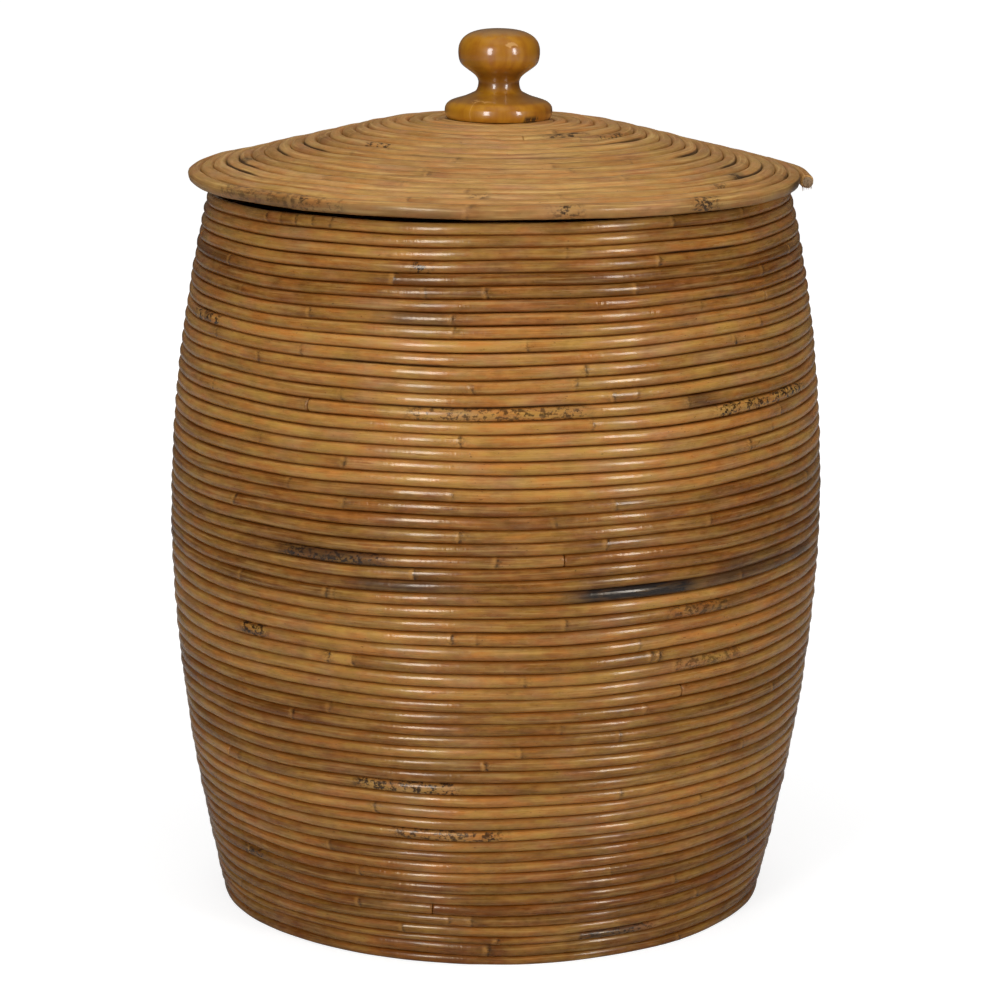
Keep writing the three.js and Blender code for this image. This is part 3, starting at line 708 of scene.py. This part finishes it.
# The lid. Stouter cane wound in a shallow cone from the rim in to the knob, varnished, and worn
# to a duller tan than the wall. It sits on the end of the wall's coil, a little lower at the
# right. Its pieces are made upright, with heights from the middle of the backing disc, and then
# turned as it sits.
LID_RADIUS = 0.2047
LID_THICKNESS = 0.0086
LID_SLOPE = math.tan(math.radians(14))
CROWN_RADIUS = 0.046
CROWN_BLEND = 0.043
LID_SIXTEENTHS = 354
LID_CANES = 3
LID_END = 0
LID_SQUARENESS = 2.6
LID_TILT = math.radians(0.6)
DISC_THICKNESS = 0.007

# What age has left on the lid, and painted shade in the grooves at its sides, marked as on the wall,
# but in metres from the lid's axis. Its shading goes by the height from the disc's middle.
LID_FRONT = 0
LID_NODES = [
    (-19, 0.134), (15, 0.128), (40, 0.202), (-37, 0.204), (-21, 0.163), (61, 0.170), (-80, 0.160),
    (12, 0.175), (-48, 0.118), (30, 0.150), (-5, 0.197),
]
LID_BLEMISHES = {
    "scar": [
        (-51, -39, 0.102, 1.3), (20, 42, 0.077, 1.3), (44, 66, 0.082, 1.1), (-82, -76, 0.161, 1.3),
        (-5, -2, 0.174, 0.8), (37, 43, 0.201, 1.2), (10, 14, 0.202, 1.2), (-38, -35, 0.202, 1.2),
        (48, 52, 0.176, 0.9), (59, 63, 0.170, 1.2), (-60, -28, 0.203, 0.6),
    ],
    "stain": [(24, 34, 0.077, 0.7), (-79, -77, 0.161, 0.8), (60, 63, 0.170, 0.7)],
    "pale": [(-18, 14, 0.131, 0.8), (-22, 46, 0.157, 0.5)],
    "seam": [
        # The long dark seams towards the lid's left and right sides are painted shade between the loops
        (-56, -8, 0.198, 0.35), (-30, 25, 0.112, 0.5), (25, 70, 0.090, 0.9), (60, 110, 0.125, 1.0),
        (-120, -70, 0.140, 1.1), (-100, -60, 0.172, 1.0), (75, 120, 0.185, 0.9),
        (-110, -60, 0.120, 1.0), (-105, -65, 0.160, 1.0), (65, 115, 0.150, 1.0),
        (60, 105, 0.170, 1.0), (70, 110, 0.195, 0.8),
    ],
}
LID_SHADING = [(-0.0265, 0.35), (-0.0245, 0.25), (-0.0225, 0), (-0.0200, 0)]

disc_low, disc_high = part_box("backing_disc")
SEATED = Matrix.Translation((disc_low + disc_high) / 2) @ Matrix.Rotation(LID_TILT, 4, "Y")
crown_underside = DISC_THICKNESS / 2 + BUTT_GAP
crown_middle = crown_underside + BACK_SHARE * LID_THICKNESS / 2


def lid_height(radius):
    beyond = np.maximum(radius - CROWN_RADIUS, 0)
    bend = np.minimum(beyond, CROWN_BLEND)
    return crown_middle - LID_SLOPE * bend**2 / (2 * CROWN_BLEND) - LID_SLOPE * (beyond - bend)


lid_radii = np.linspace(LID_RADIUS, 0, LINE_POINTS)
lid_coil = laid(
    line_through(lid_radii, lid_height(lid_radii)),
    *wind(0, lambda distance: LID_THICKNESS, LID_SIXTEENTHS + 1, False),
    LID_END, 1, free=(True, False), sprung=1, place=SEATED, shading=LID_SHADING,
    squareness=LID_SQUARENESS,
)
mark_coil(lid_coil, "radius", LID_FRONT, LID_NODES, LID_BLEMISHES)
lid_cane_finish = cane_material(
    "worn_cane",
    pale=(0.565, 0.296, 0.092, 1),
    deep=(0.27, 0.119, 0.028, 1),
    groove=(0.21, 0.092, 0.018, 1),
    grime=(0.060, 0.030, 0.013, 1),
    roughness=0.42,
    coat=0.15,
    swing=0.7,
    dirt_and_shade_strength=0.3,
    bleach=0.5,
    ringed=0.35,
)
lay_coil("lid_cane", lid_coil, LID_CANES, "lid", "lid_cane", lid_cane_finish, seed=300)

# The locating hoop. A ring of cane under the lid, which drops inside the mouth with some play.
LOCATING_THICKNESS = 0.008
low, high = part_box("lid_locating_hoop")
locating_height = (SEATED.inverted() @ ((low + high) / 2)).z
level_hoop("lid_locating_hoop", high.y - LOCATING_THICKNESS / 2, locating_height, 0,
           LOCATING_THICKNESS, lid_cane_finish, "lid", "lid_cane", seed=13, place=SEATED)

# The frayed end. Where the lid's outer end was cut, the bare pith shows, and a few splinters of
# it hang from its lower edge. Each has its place outwards from the end's middle, its length, and
# the degrees that it leans forwards.
FIBRE_SIDES = 5
FIBRE_RADIUS = 0.00032
FIBRE_ROOT_DEPTH = 0.0004
FIBRE_ROOT_RISE = 0.0012
PITH_RADIUS = 0.0037
PITH_DEPTH = 0.0005
FIBRES = [
    (-0.0034, 0.0034, 38), (-0.0024, 0.0026, 20), (-0.0010, 0.0032, 60), (0.0004, 0.0026, 50),
    (0.0016, 0.0030, 66), (0.0026, 0.0022, 58),
]

end_radius, end_height = lid_coil["radius"][0] + SPRUNG_OUT, lid_coil["height"][0] - SPRUNG_DOWN
root_height = end_height + FIBRE_ROOT_RISE - LID_THICKNESS / 2
bm = bmesh.new()
for outwards, length, forwards in FIBRES:
    root = Matrix.Translation((end_radius + outwards, FIBRE_ROOT_DEPTH, root_height))
    hanging = Matrix.Rotation(math.radians(180 - forwards), 4, "X")
    place = SEATED @ root @ hanging @ Matrix.Translation((0, 0, length / 2))
    bmesh.ops.create_cone(bm, cap_ends=True, segments=FIBRE_SIDES, radius1=FIBRE_RADIUS,
                          radius2=FIBRE_RADIUS / 3, depth=length, matrix=place)
facing = Matrix.Translation((end_radius, 0, end_height)) @ Matrix.Rotation(math.radians(90), 4, "X")
bmesh.ops.create_cone(bm, cap_ends=True, segments=CANE_SIDES, radius1=PITH_RADIUS,
                      radius2=PITH_RADIUS - PITH_DEPTH, depth=PITH_DEPTH, matrix=SEATED @ facing)
fibres = new_piece("frayed_end", finished_mesh("frayed_end", bm))
fibre_finish, tree, shader = new_material("bare_fibre")
fleck = noise(tree, add(tree, "ShaderNodeTexCoord").outputs["Object"], 900)
color = mixed(tree, spread(tree, fleck, 0.35, 0.65), (0.47, 0.31, 0.17, 1), (0.22, 0.13, 0.06, 1))
tree.links.new(color, shader.inputs["Base Color"])
shader.inputs["Roughness"].default_value = 0.7
dress(fibres, fibre_finish, "lid", "lid_cane")

# The knob. Turned in one piece from a close-grained wood, with a round flange, a waisted neck
# and a flattened head, under a thick amber lacquer. Its tenon goes down through the lid.
KNOB_SIDES = 96
KNOB_CURVE_POINTS = 5
KNOB_HEIGHT = 0.0575
HEAD_RADIUS = 0.0265
HEAD_HEIGHT = 0.042
HEAD_SQUARENESS = 2.6
HEAD_POINTS = 16
TENON_RADIUS = 0.009
BORE_RADIUS = 0.0025
BORE_DEPTH = 0.0266
MERGE_DISTANCE = 1e-6
KNOB_SIDE = [
    (0.0335, 0), (0.0347, 0.0020), (0.0350, 0.0050), (0.0344, 0.0080), (0.0320, 0.0105),
    (0.0285, 0.0120), (0.0224, 0.0139), (0.0178, 0.0159), (0.0146, 0.0179), (0.0133, 0.0225),
    (0.0142, 0.0260), (0.0168, 0.0287), (0.0204, 0.0313), (0.0243, 0.0345), (0.0259, 0.0377),
    (HEAD_RADIUS, HEAD_HEIGHT),
]


def catmull_rom(points, count):
    """A smooth curve through the points, with that many steps between each pair"""
    knots = np.array([points[0], *points, points[-1]])
    curve = []
    for a, b, c, d in zip(knots, knots[1:], knots[2:], knots[3:]):
        for t in np.arange(count) / count:
            curve.append(0.5 * (2 * b + (c - a) * t + (2 * a - 5 * b + 4 * c - d) * t**2
                                + (3 * b - a - 3 * c + d) * t**3))
    return [*curve, knots[-1]]


def turned(name, outline, sides):
    """A piece of the lid turned on a lathe: its outline, as radius and height, spun about the axis"""
    bm = bmesh.new()
    points = [bm.verts.new((radius, 0, height)) for radius, height in outline]
    edges = [bm.edges.new(pair) for pair in zip(points, points[1:])]
    bmesh.ops.spin(bm, geom=points + edges, axis=(0, 0, 1), cent=(0, 0, 0), steps=sides,
                   angle=2 * math.pi, use_merge=True, use_duplicate=False)
    bmesh.ops.remove_doubles(bm, verts=bm.verts, dist=MERGE_DISTANCE)
    bmesh.ops.recalc_face_normals(bm, faces=bm.faces)
    for face in bm.faces:
        face.smooth = True
    mesh = finished_mesh(name, bm)
    mesh.transform(SEATED)
    return new_piece(name, mesh)


knob_foot = crown_middle + LID_THICKNESS / 2 + BUTT_GAP
bore_top = knob_foot + BORE_DEPTH
knob_outline = [(0, bore_top), (BORE_RADIUS, bore_top), (BORE_RADIUS, crown_underside)]
knob_outline += [(TENON_RADIUS, crown_underside), (TENON_RADIUS, knob_foot)]
knob_outline += [(r, knob_foot + z) for r, z in catmull_rom(KNOB_SIDE, KNOB_CURVE_POINTS)]
for i in range(1, HEAD_POINTS + 1):
    turn = i / HEAD_POINTS * math.pi / 2
    share_out = max(math.cos(turn), 0) ** (2 / HEAD_SQUARENESS) if i < HEAD_POINTS else 0
    share_up = math.sin(turn) ** (2 / HEAD_SQUARENESS)
    rise = HEAD_HEIGHT + (KNOB_HEIGHT - HEAD_HEIGHT) * share_up
    knob_outline.append((HEAD_RADIUS * share_out, knob_foot + rise))
knob = turned("turned_knob", knob_outline, KNOB_SIDES)


def near(tree, value, middle, inner, outer):
    """One where a value lies close to its middle, fading to nothing at the outer distance"""
    away = reckon(tree, "ABSOLUTE", reckon(tree, "SUBTRACT", value, middle))
    return spread(tree, away, inner, outer, 1, 0)


# The lacquer, with its grain and clouds. Heights are above the flange's foot, in metres, and
# angles to the right of the front, in radians. The wobble makes the edges of wear ragged.
AMBER = (0.50, 0.220, 0.010, 1)
AMBER_GRAIN = (0.38, 0.138, 0.004, 1)
AMBER_CLOUD = (0.31, 0.095, 0.006, 1)
WOBBLE = 0.0008

knob_finish, tree, shader = new_material("amber_lacquer")
place = add(tree, "ShaderNodeTexCoord").outputs["Object"]
knob_seat = SEATED @ Vector((0, 0, knob_foot))
place = add(tree, "ShaderNodeMapping", {"Vector": place, "Location": -knob_seat}).outputs[0]
rightwards, backwards, height = add(tree, "ShaderNodeSeparateXYZ", {0: place}).outputs
angle = reckon(tree, "ARCTAN2", rightwards, times(tree, backwards, -1))
grain = noise(tree, place, 160, 3, (1, 1, 0.12))
cloud = noise(tree, place, 45, 2)
ragged = noise(tree, place, 260, 3)
wobble = spread(tree, ragged, 0.2, 0.8, -WOBBLE, WOBBLE)
color = mixed(tree, spread(tree, grain, 0.35, 0.7), AMBER, AMBER_GRAIN)
color = mixed(tree, spread(tree, cloud, 0.35, 0.75, 0, 0.5), color, AMBER_CLOUD)

# Finger wear has greyed the top, which also carries a painted reflection. Thick lacquer with painted
# shade darkens the neck under the head, painted shade darkens the head's lower left, and the flange's
# shoulder, where it turns into the neck, is dulled and darkened with painted shade.
TOP_WEAR_AND_SHEEN, TOP_WEAR_AND_SHEEN_HEIGHTS = (0.30, 0.19, 0.105, 1), (0.0525, 0.0565)
NECK_LACQUER_AND_SHADE, NECK_HEIGHT, NECK_REACH = (0.16, 0.050, 0.0005, 1), 0.0260, (0.0030, 0.0090)
SHOULDER_DULL_AND_SHADE, SHOULDER_HEIGHT, SHOULDER_REACH = (0.22, 0.100, 0.025, 1), 0.0135, (0.0014, 0.0036)
LOW_LEFT_SHADE, LEFT_HEIGHT, LEFT_REACH = (0.22, 0.105, 0.004, 1), 0.035, (0.002, 0.006)
LEFT_ANGLES = (-0.2, -0.7)

# The grey top is partly wear and partly a painted reflection
wear_and_sheen_height = reckon(tree, "ADD", height, times(tree, wobble, 2))
color = mixed(tree, spread(tree, wear_and_sheen_height, *TOP_WEAR_AND_SHEEN_HEIGHTS, 0, 0.55), color, TOP_WEAR_AND_SHEEN)
# Painted shade under the head, with thick lacquer on the neck
under_head = near(tree, height, NECK_HEIGHT, *NECK_REACH)
color = mixed(tree, times(tree, under_head, 0.75), color, NECK_LACQUER_AND_SHADE)
# Patchy painted shade, with dull lacquer, in the crease of the flange's shoulder
dulled_and_shaded = near(tree, height, SHOULDER_HEIGHT, *SHOULDER_REACH)
dulled_and_shaded = times(tree, dulled_and_shaded, spread(tree, cloud, 0.3, 0.6, 0.15, 0.5))
color = mixed(tree, dulled_and_shaded, color, SHOULDER_DULL_AND_SHADE)
# Painted shade on the head's lower left
low_left = near(tree, height, LEFT_HEIGHT, *LEFT_REACH)
low_left = times(tree, low_left, spread(tree, angle, *LEFT_ANGLES))
color = mixed(tree, times(tree, low_left, 0.55), color, LOW_LEFT_SHADE)

# A crack in the lacquer along the flange's shoulder, another down its side, a chip on the head,
# and a dark scuff at the foot
BROKEN_LACQUER = (0.66, 0.36, 0.12, 1)
CRACK_HEIGHT, CRACK_WIDTH = 0.0127, (0.00012, 0.00045)
CRACK_ANGLE, CRACK_REACH = -0.42, (0.20, 0.32)
DROP_ANGLE, DROP_WIDTH, DROP_HEIGHTS = -0.55, (0.004, 0.016), (0.0125, 0.0115)
CHIP_ANGLE, CHIP_HEIGHT, CHIP_SLOPE = 0.34, 0.0505, 0.004
CHIPS_PER_RADIAN, CHIPS_PER_METRE = 6, 700
SCUFFED = (0.045, 0.020, 0.006, 1)
SCUFF_ANGLE, SCUFF_REACH, SCUFF_HEIGHTS = 0.66, (0.12, 0.20), (0.0048, 0.0018)

shoulder = near(tree, reckon(tree, "ADD", height, wobble), CRACK_HEIGHT, *CRACK_WIDTH)
shoulder = times(tree, shoulder, near(tree, angle, CRACK_ANGLE, *CRACK_REACH))
drop = near(tree, reckon(tree, "MULTIPLY_ADD", wobble, 12, angle), DROP_ANGLE, *DROP_WIDTH)
drop = times(tree, times(tree, drop, spread(tree, height, *DROP_HEIGHTS)), 0.5)
chip_along = times(tree, reckon(tree, "SUBTRACT", angle, CHIP_ANGLE), CHIPS_PER_RADIAN)
chip_up = reckon(tree, "SUBTRACT", reckon(tree, "MULTIPLY_ADD", wobble, 1.5, height), CHIP_HEIGHT)
chip_up = times(tree, reckon(tree, "MULTIPLY_ADD", angle, CHIP_SLOPE, chip_up), CHIPS_PER_METRE)
chip = reckon(tree, "ADD", reckon(tree, "POWER", chip_along, 2), reckon(tree, "POWER", chip_up, 2))
chip = spread(tree, chip, 0.6, 1.2, 1, 0)
flaws = reckon(tree, "MAXIMUM", shoulder, reckon(tree, "MAXIMUM", drop, chip))
color = mixed(tree, times(tree, flaws, 0.75), color, BROKEN_LACQUER)
streaks = noise(tree, place, 420, 2, (1, 1, 0.25), 0.7)
scuff = near(tree, angle, SCUFF_ANGLE, *SCUFF_REACH)
scuff = times(tree, scuff, spread(tree, height, *SCUFF_HEIGHTS))
scuff = times(tree, scuff, spread(tree, streaks, 0.36, 0.50))
color = mixed(tree, scuff, color, SCUFFED)
tree.links.new(color, shader.inputs["Base Color"])
shader.inputs["Roughness"].default_value = 0.38
shader.inputs["Coat Weight"].default_value = 1.0
shader.inputs["Coat Roughness"].default_value = 0.11
dress(knob, knob_finish, "lid", "turned_wood", "knob")

# The backing disc. A plain disc of sanded wood under the lid, drilled for the screw, which
# spreads its pull over the inner turns.
DISC_RADIUS = 0.030
DISC_ROUND = 0.0012
disc_foot, disc_top = -DISC_THICKNESS / 2, DISC_THICKNESS / 2
disc = turned("sanded_disc", [
    (BORE_RADIUS, disc_foot), (DISC_RADIUS - DISC_ROUND, disc_foot),
    (DISC_RADIUS - DISC_ROUND / 3, disc_foot + DISC_ROUND / 3),
    (DISC_RADIUS, disc_foot + DISC_ROUND), (DISC_RADIUS, disc_top - DISC_ROUND),
    (DISC_RADIUS - DISC_ROUND / 3, disc_top - DISC_ROUND / 3), (DISC_RADIUS - DISC_ROUND, disc_top),
    (BORE_RADIUS, disc_top), (BORE_RADIUS, disc_foot),
], KNOB_SIDES)
disc_finish, tree, shader = new_material("sanded_wood")
place = add(tree, "ShaderNodeTexCoord").outputs["Object"]
rings = noise(tree, place, 150, 3, (0.06, 1, 1))
pores = noise(tree, place, 1500, 2, (0.05, 1, 1))
color = mixed(tree, spread(tree, rings, 0.35, 0.65), (0.50, 0.35, 0.20, 1), (0.36, 0.23, 0.115, 1))
color = mixed(tree, spread(tree, pores, 0.60, 0.75, 0, 0.5), color, (0.20, 0.12, 0.06, 1))
tree.links.new(color, shader.inputs["Base Color"])
shader.inputs["Roughness"].default_value = 0.6
bump = add(tree, "ShaderNodeBump", {"Height": pores, "Strength": 0.3, "Distance": 0.0001})
tree.links.new(bump.outputs[0], shader.inputs["Normal"])
dress(disc, disc_finish, "lid", "plain_wood", "backing_disc")

# The washer and the knob screw. Plain steel, driven up from below through the disc and the
# tenon into the knob. The screw has a slotted pan head. Its crown is given as shares of the
# head's radius and rises from its lowest point, and the points down to the slot's reach sink.
WASHER_RADIUS = 0.009
WASHER_THICKNESS = 0.0015
WASHER_ROUND = 0.0003
SCREW_RADIUS = 0.0022
SCREW_BITE = 0.026
SCREW_HEAD_RADIUS = 0.0046
SCREW_HEAD_HEIGHT = 0.003
SCREW_CROWN = [(0.75, 0.0002), (0.92, 0.0008), (1, 0.0016)]
SLOT_REACH = 0.0017
SLOT_HALF_WIDTH = 0.0005
SLOT_DEPTH = 0.0012
SLOT_SLOPE = 0.00005
SCREW_SIDES = 48
washer_top = disc_foot - BUTT_GAP
washer_foot = washer_top - WASHER_THICKNESS
washer = turned("plain_washer", [
    (BORE_RADIUS, washer_foot), (WASHER_RADIUS - WASHER_ROUND, washer_foot),
    (WASHER_RADIUS, washer_foot + WASHER_ROUND), (WASHER_RADIUS, washer_top), (BORE_RADIUS, washer_top),
    (BORE_RADIUS, washer_foot),
], SCREW_SIDES)
head_top = washer_foot - BUTT_GAP
head_foot = head_top - SCREW_HEAD_HEIGHT
crown = [(share * SCREW_HEAD_RADIUS, head_foot + rise) for share, rise in SCREW_CROWN]
screw = turned("slotted_screw", [
    (0, head_foot), *crown,
    (SCREW_HEAD_RADIUS, head_top), (SCREW_RADIUS, head_top),
    (SCREW_RADIUS, knob_foot + SCREW_BITE - 2 * SCREW_RADIUS), (0, knob_foot + SCREW_BITE),
], SCREW_SIDES)
cut = bmesh.new()
cut.from_mesh(screw.data)
bmesh.ops.transform(cut, matrix=SEATED.inverted(), verts=cut.verts)
slot_mouth = SLOT_HALF_WIDTH + SLOT_SLOPE
for edge in (-slot_mouth, -SLOT_HALF_WIDTH, SLOT_HALF_WIDTH, slot_mouth):
    everything = cut.verts[:] + cut.edges[:] + cut.faces[:]
    bmesh.ops.bisect_plane(cut, geom=everything, plane_co=(edge, 0, 0), plane_no=(1, 0, 0))
low = [point for point in cut.verts if point.co.z < head_foot + SLOT_REACH]
sunk = [point for point in low if abs(point.co.x) < SLOT_HALF_WIDTH + SLOT_SLOPE / 2]
bmesh.ops.translate(cut, vec=(0, 0, SLOT_DEPTH), verts=sunk)
bmesh.ops.transform(cut, matrix=SEATED, verts=cut.verts)
cut.to_mesh(screw.data)
cut.free()
steel_finish, tree, shader = new_material("wire_steel")
place = add(tree, "ShaderNodeTexCoord").outputs["Object"]
brushed = noise(tree, place, 900, 2, (1, 1, 0.1))
tarnish = noise(tree, place, 240, 3)
color = mixed(tree, spread(tree, brushed, 0.3, 0.7), (0.50, 0.49, 0.47, 1), (0.38, 0.37, 0.35, 1))
color = mixed(tree, spread(tree, tarnish, 0.55, 0.75, 0, 0.6), color, (0.22, 0.16, 0.11, 1))
tree.links.new(color, shader.inputs["Base Color"])
tree.links.new(spread(tree, tarnish, 0.3, 0.7, 0.30, 0.55), shader.inputs["Roughness"])
shader.inputs["Metallic"].default_value = 0.9
dress(washer, steel_finish, "lid", "steel", "washer")
dress(screw, steel_finish, "lid", "steel", "knob_screw")

# The brads and pins. Fine nails of the same steel, driven home where a cane begins, and through
# the base hoop into the base.
for name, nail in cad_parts.items():
    if "_brad_" in name or "_pin_" in name:
        nail.material_slots[0].material = steel_finish

# The studio. Two upright soft boxes in front and a little above, with broad soft lights overhead
# and behind that no surface mirrors, over a pale floor that runs out to white. The camera sees
# white all round, and a mirroring surface a dim, warm room that is brighter behind.
LEFT_BOX = {"azimuth": -26, "size": (0.56, 1.40), "radiance": 13.1}
RIGHT_BOX = {"azimuth": 44, "size": (0.38, 1.25), "radiance": 15.0}
BOX_DISTANCE = 2.6
BOX_HEIGHT = 1.04
BOX_AIM = (0, 0, 0.35)
TOP_LIGHT = {"place": (0, -0.4, 2.2), "aim": (0, 0, 0), "size": (1.6, 1.6), "radiance": 2.8}
REAR_LIGHT = {"place": (0, 2.4, 1.5), "aim": (0, 0, 0.25), "size": (2.4, 1.6), "radiance": 1.6}
WHITE = (1, 1, 1, 1)
FLOOR_REACH = 30
FLOOR_COLOR = (0.38, 0.38, 0.38, 1)
FLOOR_GLOW_PLACES = (0.25, 1.3)
FLOOR_GLOW = (0.80, 1)
ROOM_COLOR = (1, 0.8, 0.62, 1)
ROOM_FRONT_TO_BACK = (0.03, 0.10)
FILL_LOW_TO_HIGH = (0.03, 0.08)


def area_light(name, place, aim, size, radiance, mirrored=True):
    light = bpy.data.lights.new(name, "AREA")
    light.shape = "RECTANGLE"
    light.size, light.size_y = size
    light.energy = radiance * math.pi * size[0] * size[1]
    lamp = bpy.data.objects.new(name, light)
    lamp.location = place
    lamp.rotation_euler = (Vector(aim) - Vector(place)).to_track_quat("-Z", "Y").to_euler()
    lamp.visible_camera = False
    lamp.visible_glossy = mirrored
    bpy.context.scene.collection.objects.link(lamp)


for name, box in (("left_soft_box", LEFT_BOX), ("right_soft_box", RIGHT_BOX)):
    turn = math.radians(box["azimuth"])
    place = (BOX_DISTANCE * math.sin(turn), -BOX_DISTANCE * math.cos(turn), BOX_HEIGHT)
    area_light(name, place, BOX_AIM, box["size"], box["radiance"])
area_light("top_light", **TOP_LIGHT, mirrored=False)
area_light("rear_light", **REAR_LIGHT, mirrored=False)

bm = bmesh.new()
bmesh.ops.create_grid(bm, x_segments=1, y_segments=1, size=FLOOR_REACH)
floor = new_piece("floor", finished_mesh("floor", bm))
floor_finish, tree, shader = new_material("white_floor")
shader.inputs["Base Color"].default_value = FLOOR_COLOR
shader.inputs["Roughness"].default_value = 0.9
seen = add(tree, "ShaderNodeLightPath").outputs["Is Camera Ray"]
away = add(tree, "ShaderNodeTexCoord").outputs["Object"]
away = add(tree, "ShaderNodeVectorMath", {0: away}, operation="LENGTH").outputs["Value"]
glow = spread(tree, away, *FLOOR_GLOW_PLACES, *FLOOR_GLOW)
tree.links.new(times(tree, seen, glow), shader.inputs["Emission Strength"])
shader.inputs["Emission Color"].default_value = WHITE
floor.data.materials.append(floor_finish)

world = bpy.data.worlds.new("studio")
world.use_nodes = True
bpy.context.scene.world = world
tree = world.node_tree
rays = add(tree, "ShaderNodeLightPath").outputs
mirrored = reckon(tree, "MAXIMUM", rays["Is Glossy Ray"], rays["Is Transmission Ray"])
direction = add(tree, "ShaderNodeTexCoord").outputs["Generated"]
toward = add(tree, "ShaderNodeSeparateXYZ", {0: direction}).outputs
room = spread(tree, toward[1], 0.2, 1.0, *ROOM_FRONT_TO_BACK)
room = mixed(tree, room, (0, 0, 0, 1), ROOM_COLOR)
fill = spread(tree, toward[2], -0.3, 0.8, *FILL_LOW_TO_HIGH)
surround = mixed(tree, mirrored, fill, room)
surround = mixed(tree, rays["Is Camera Ray"], surround, WHITE)
tree.links.new(surround, tree.nodes["Background"].inputs["Color"])
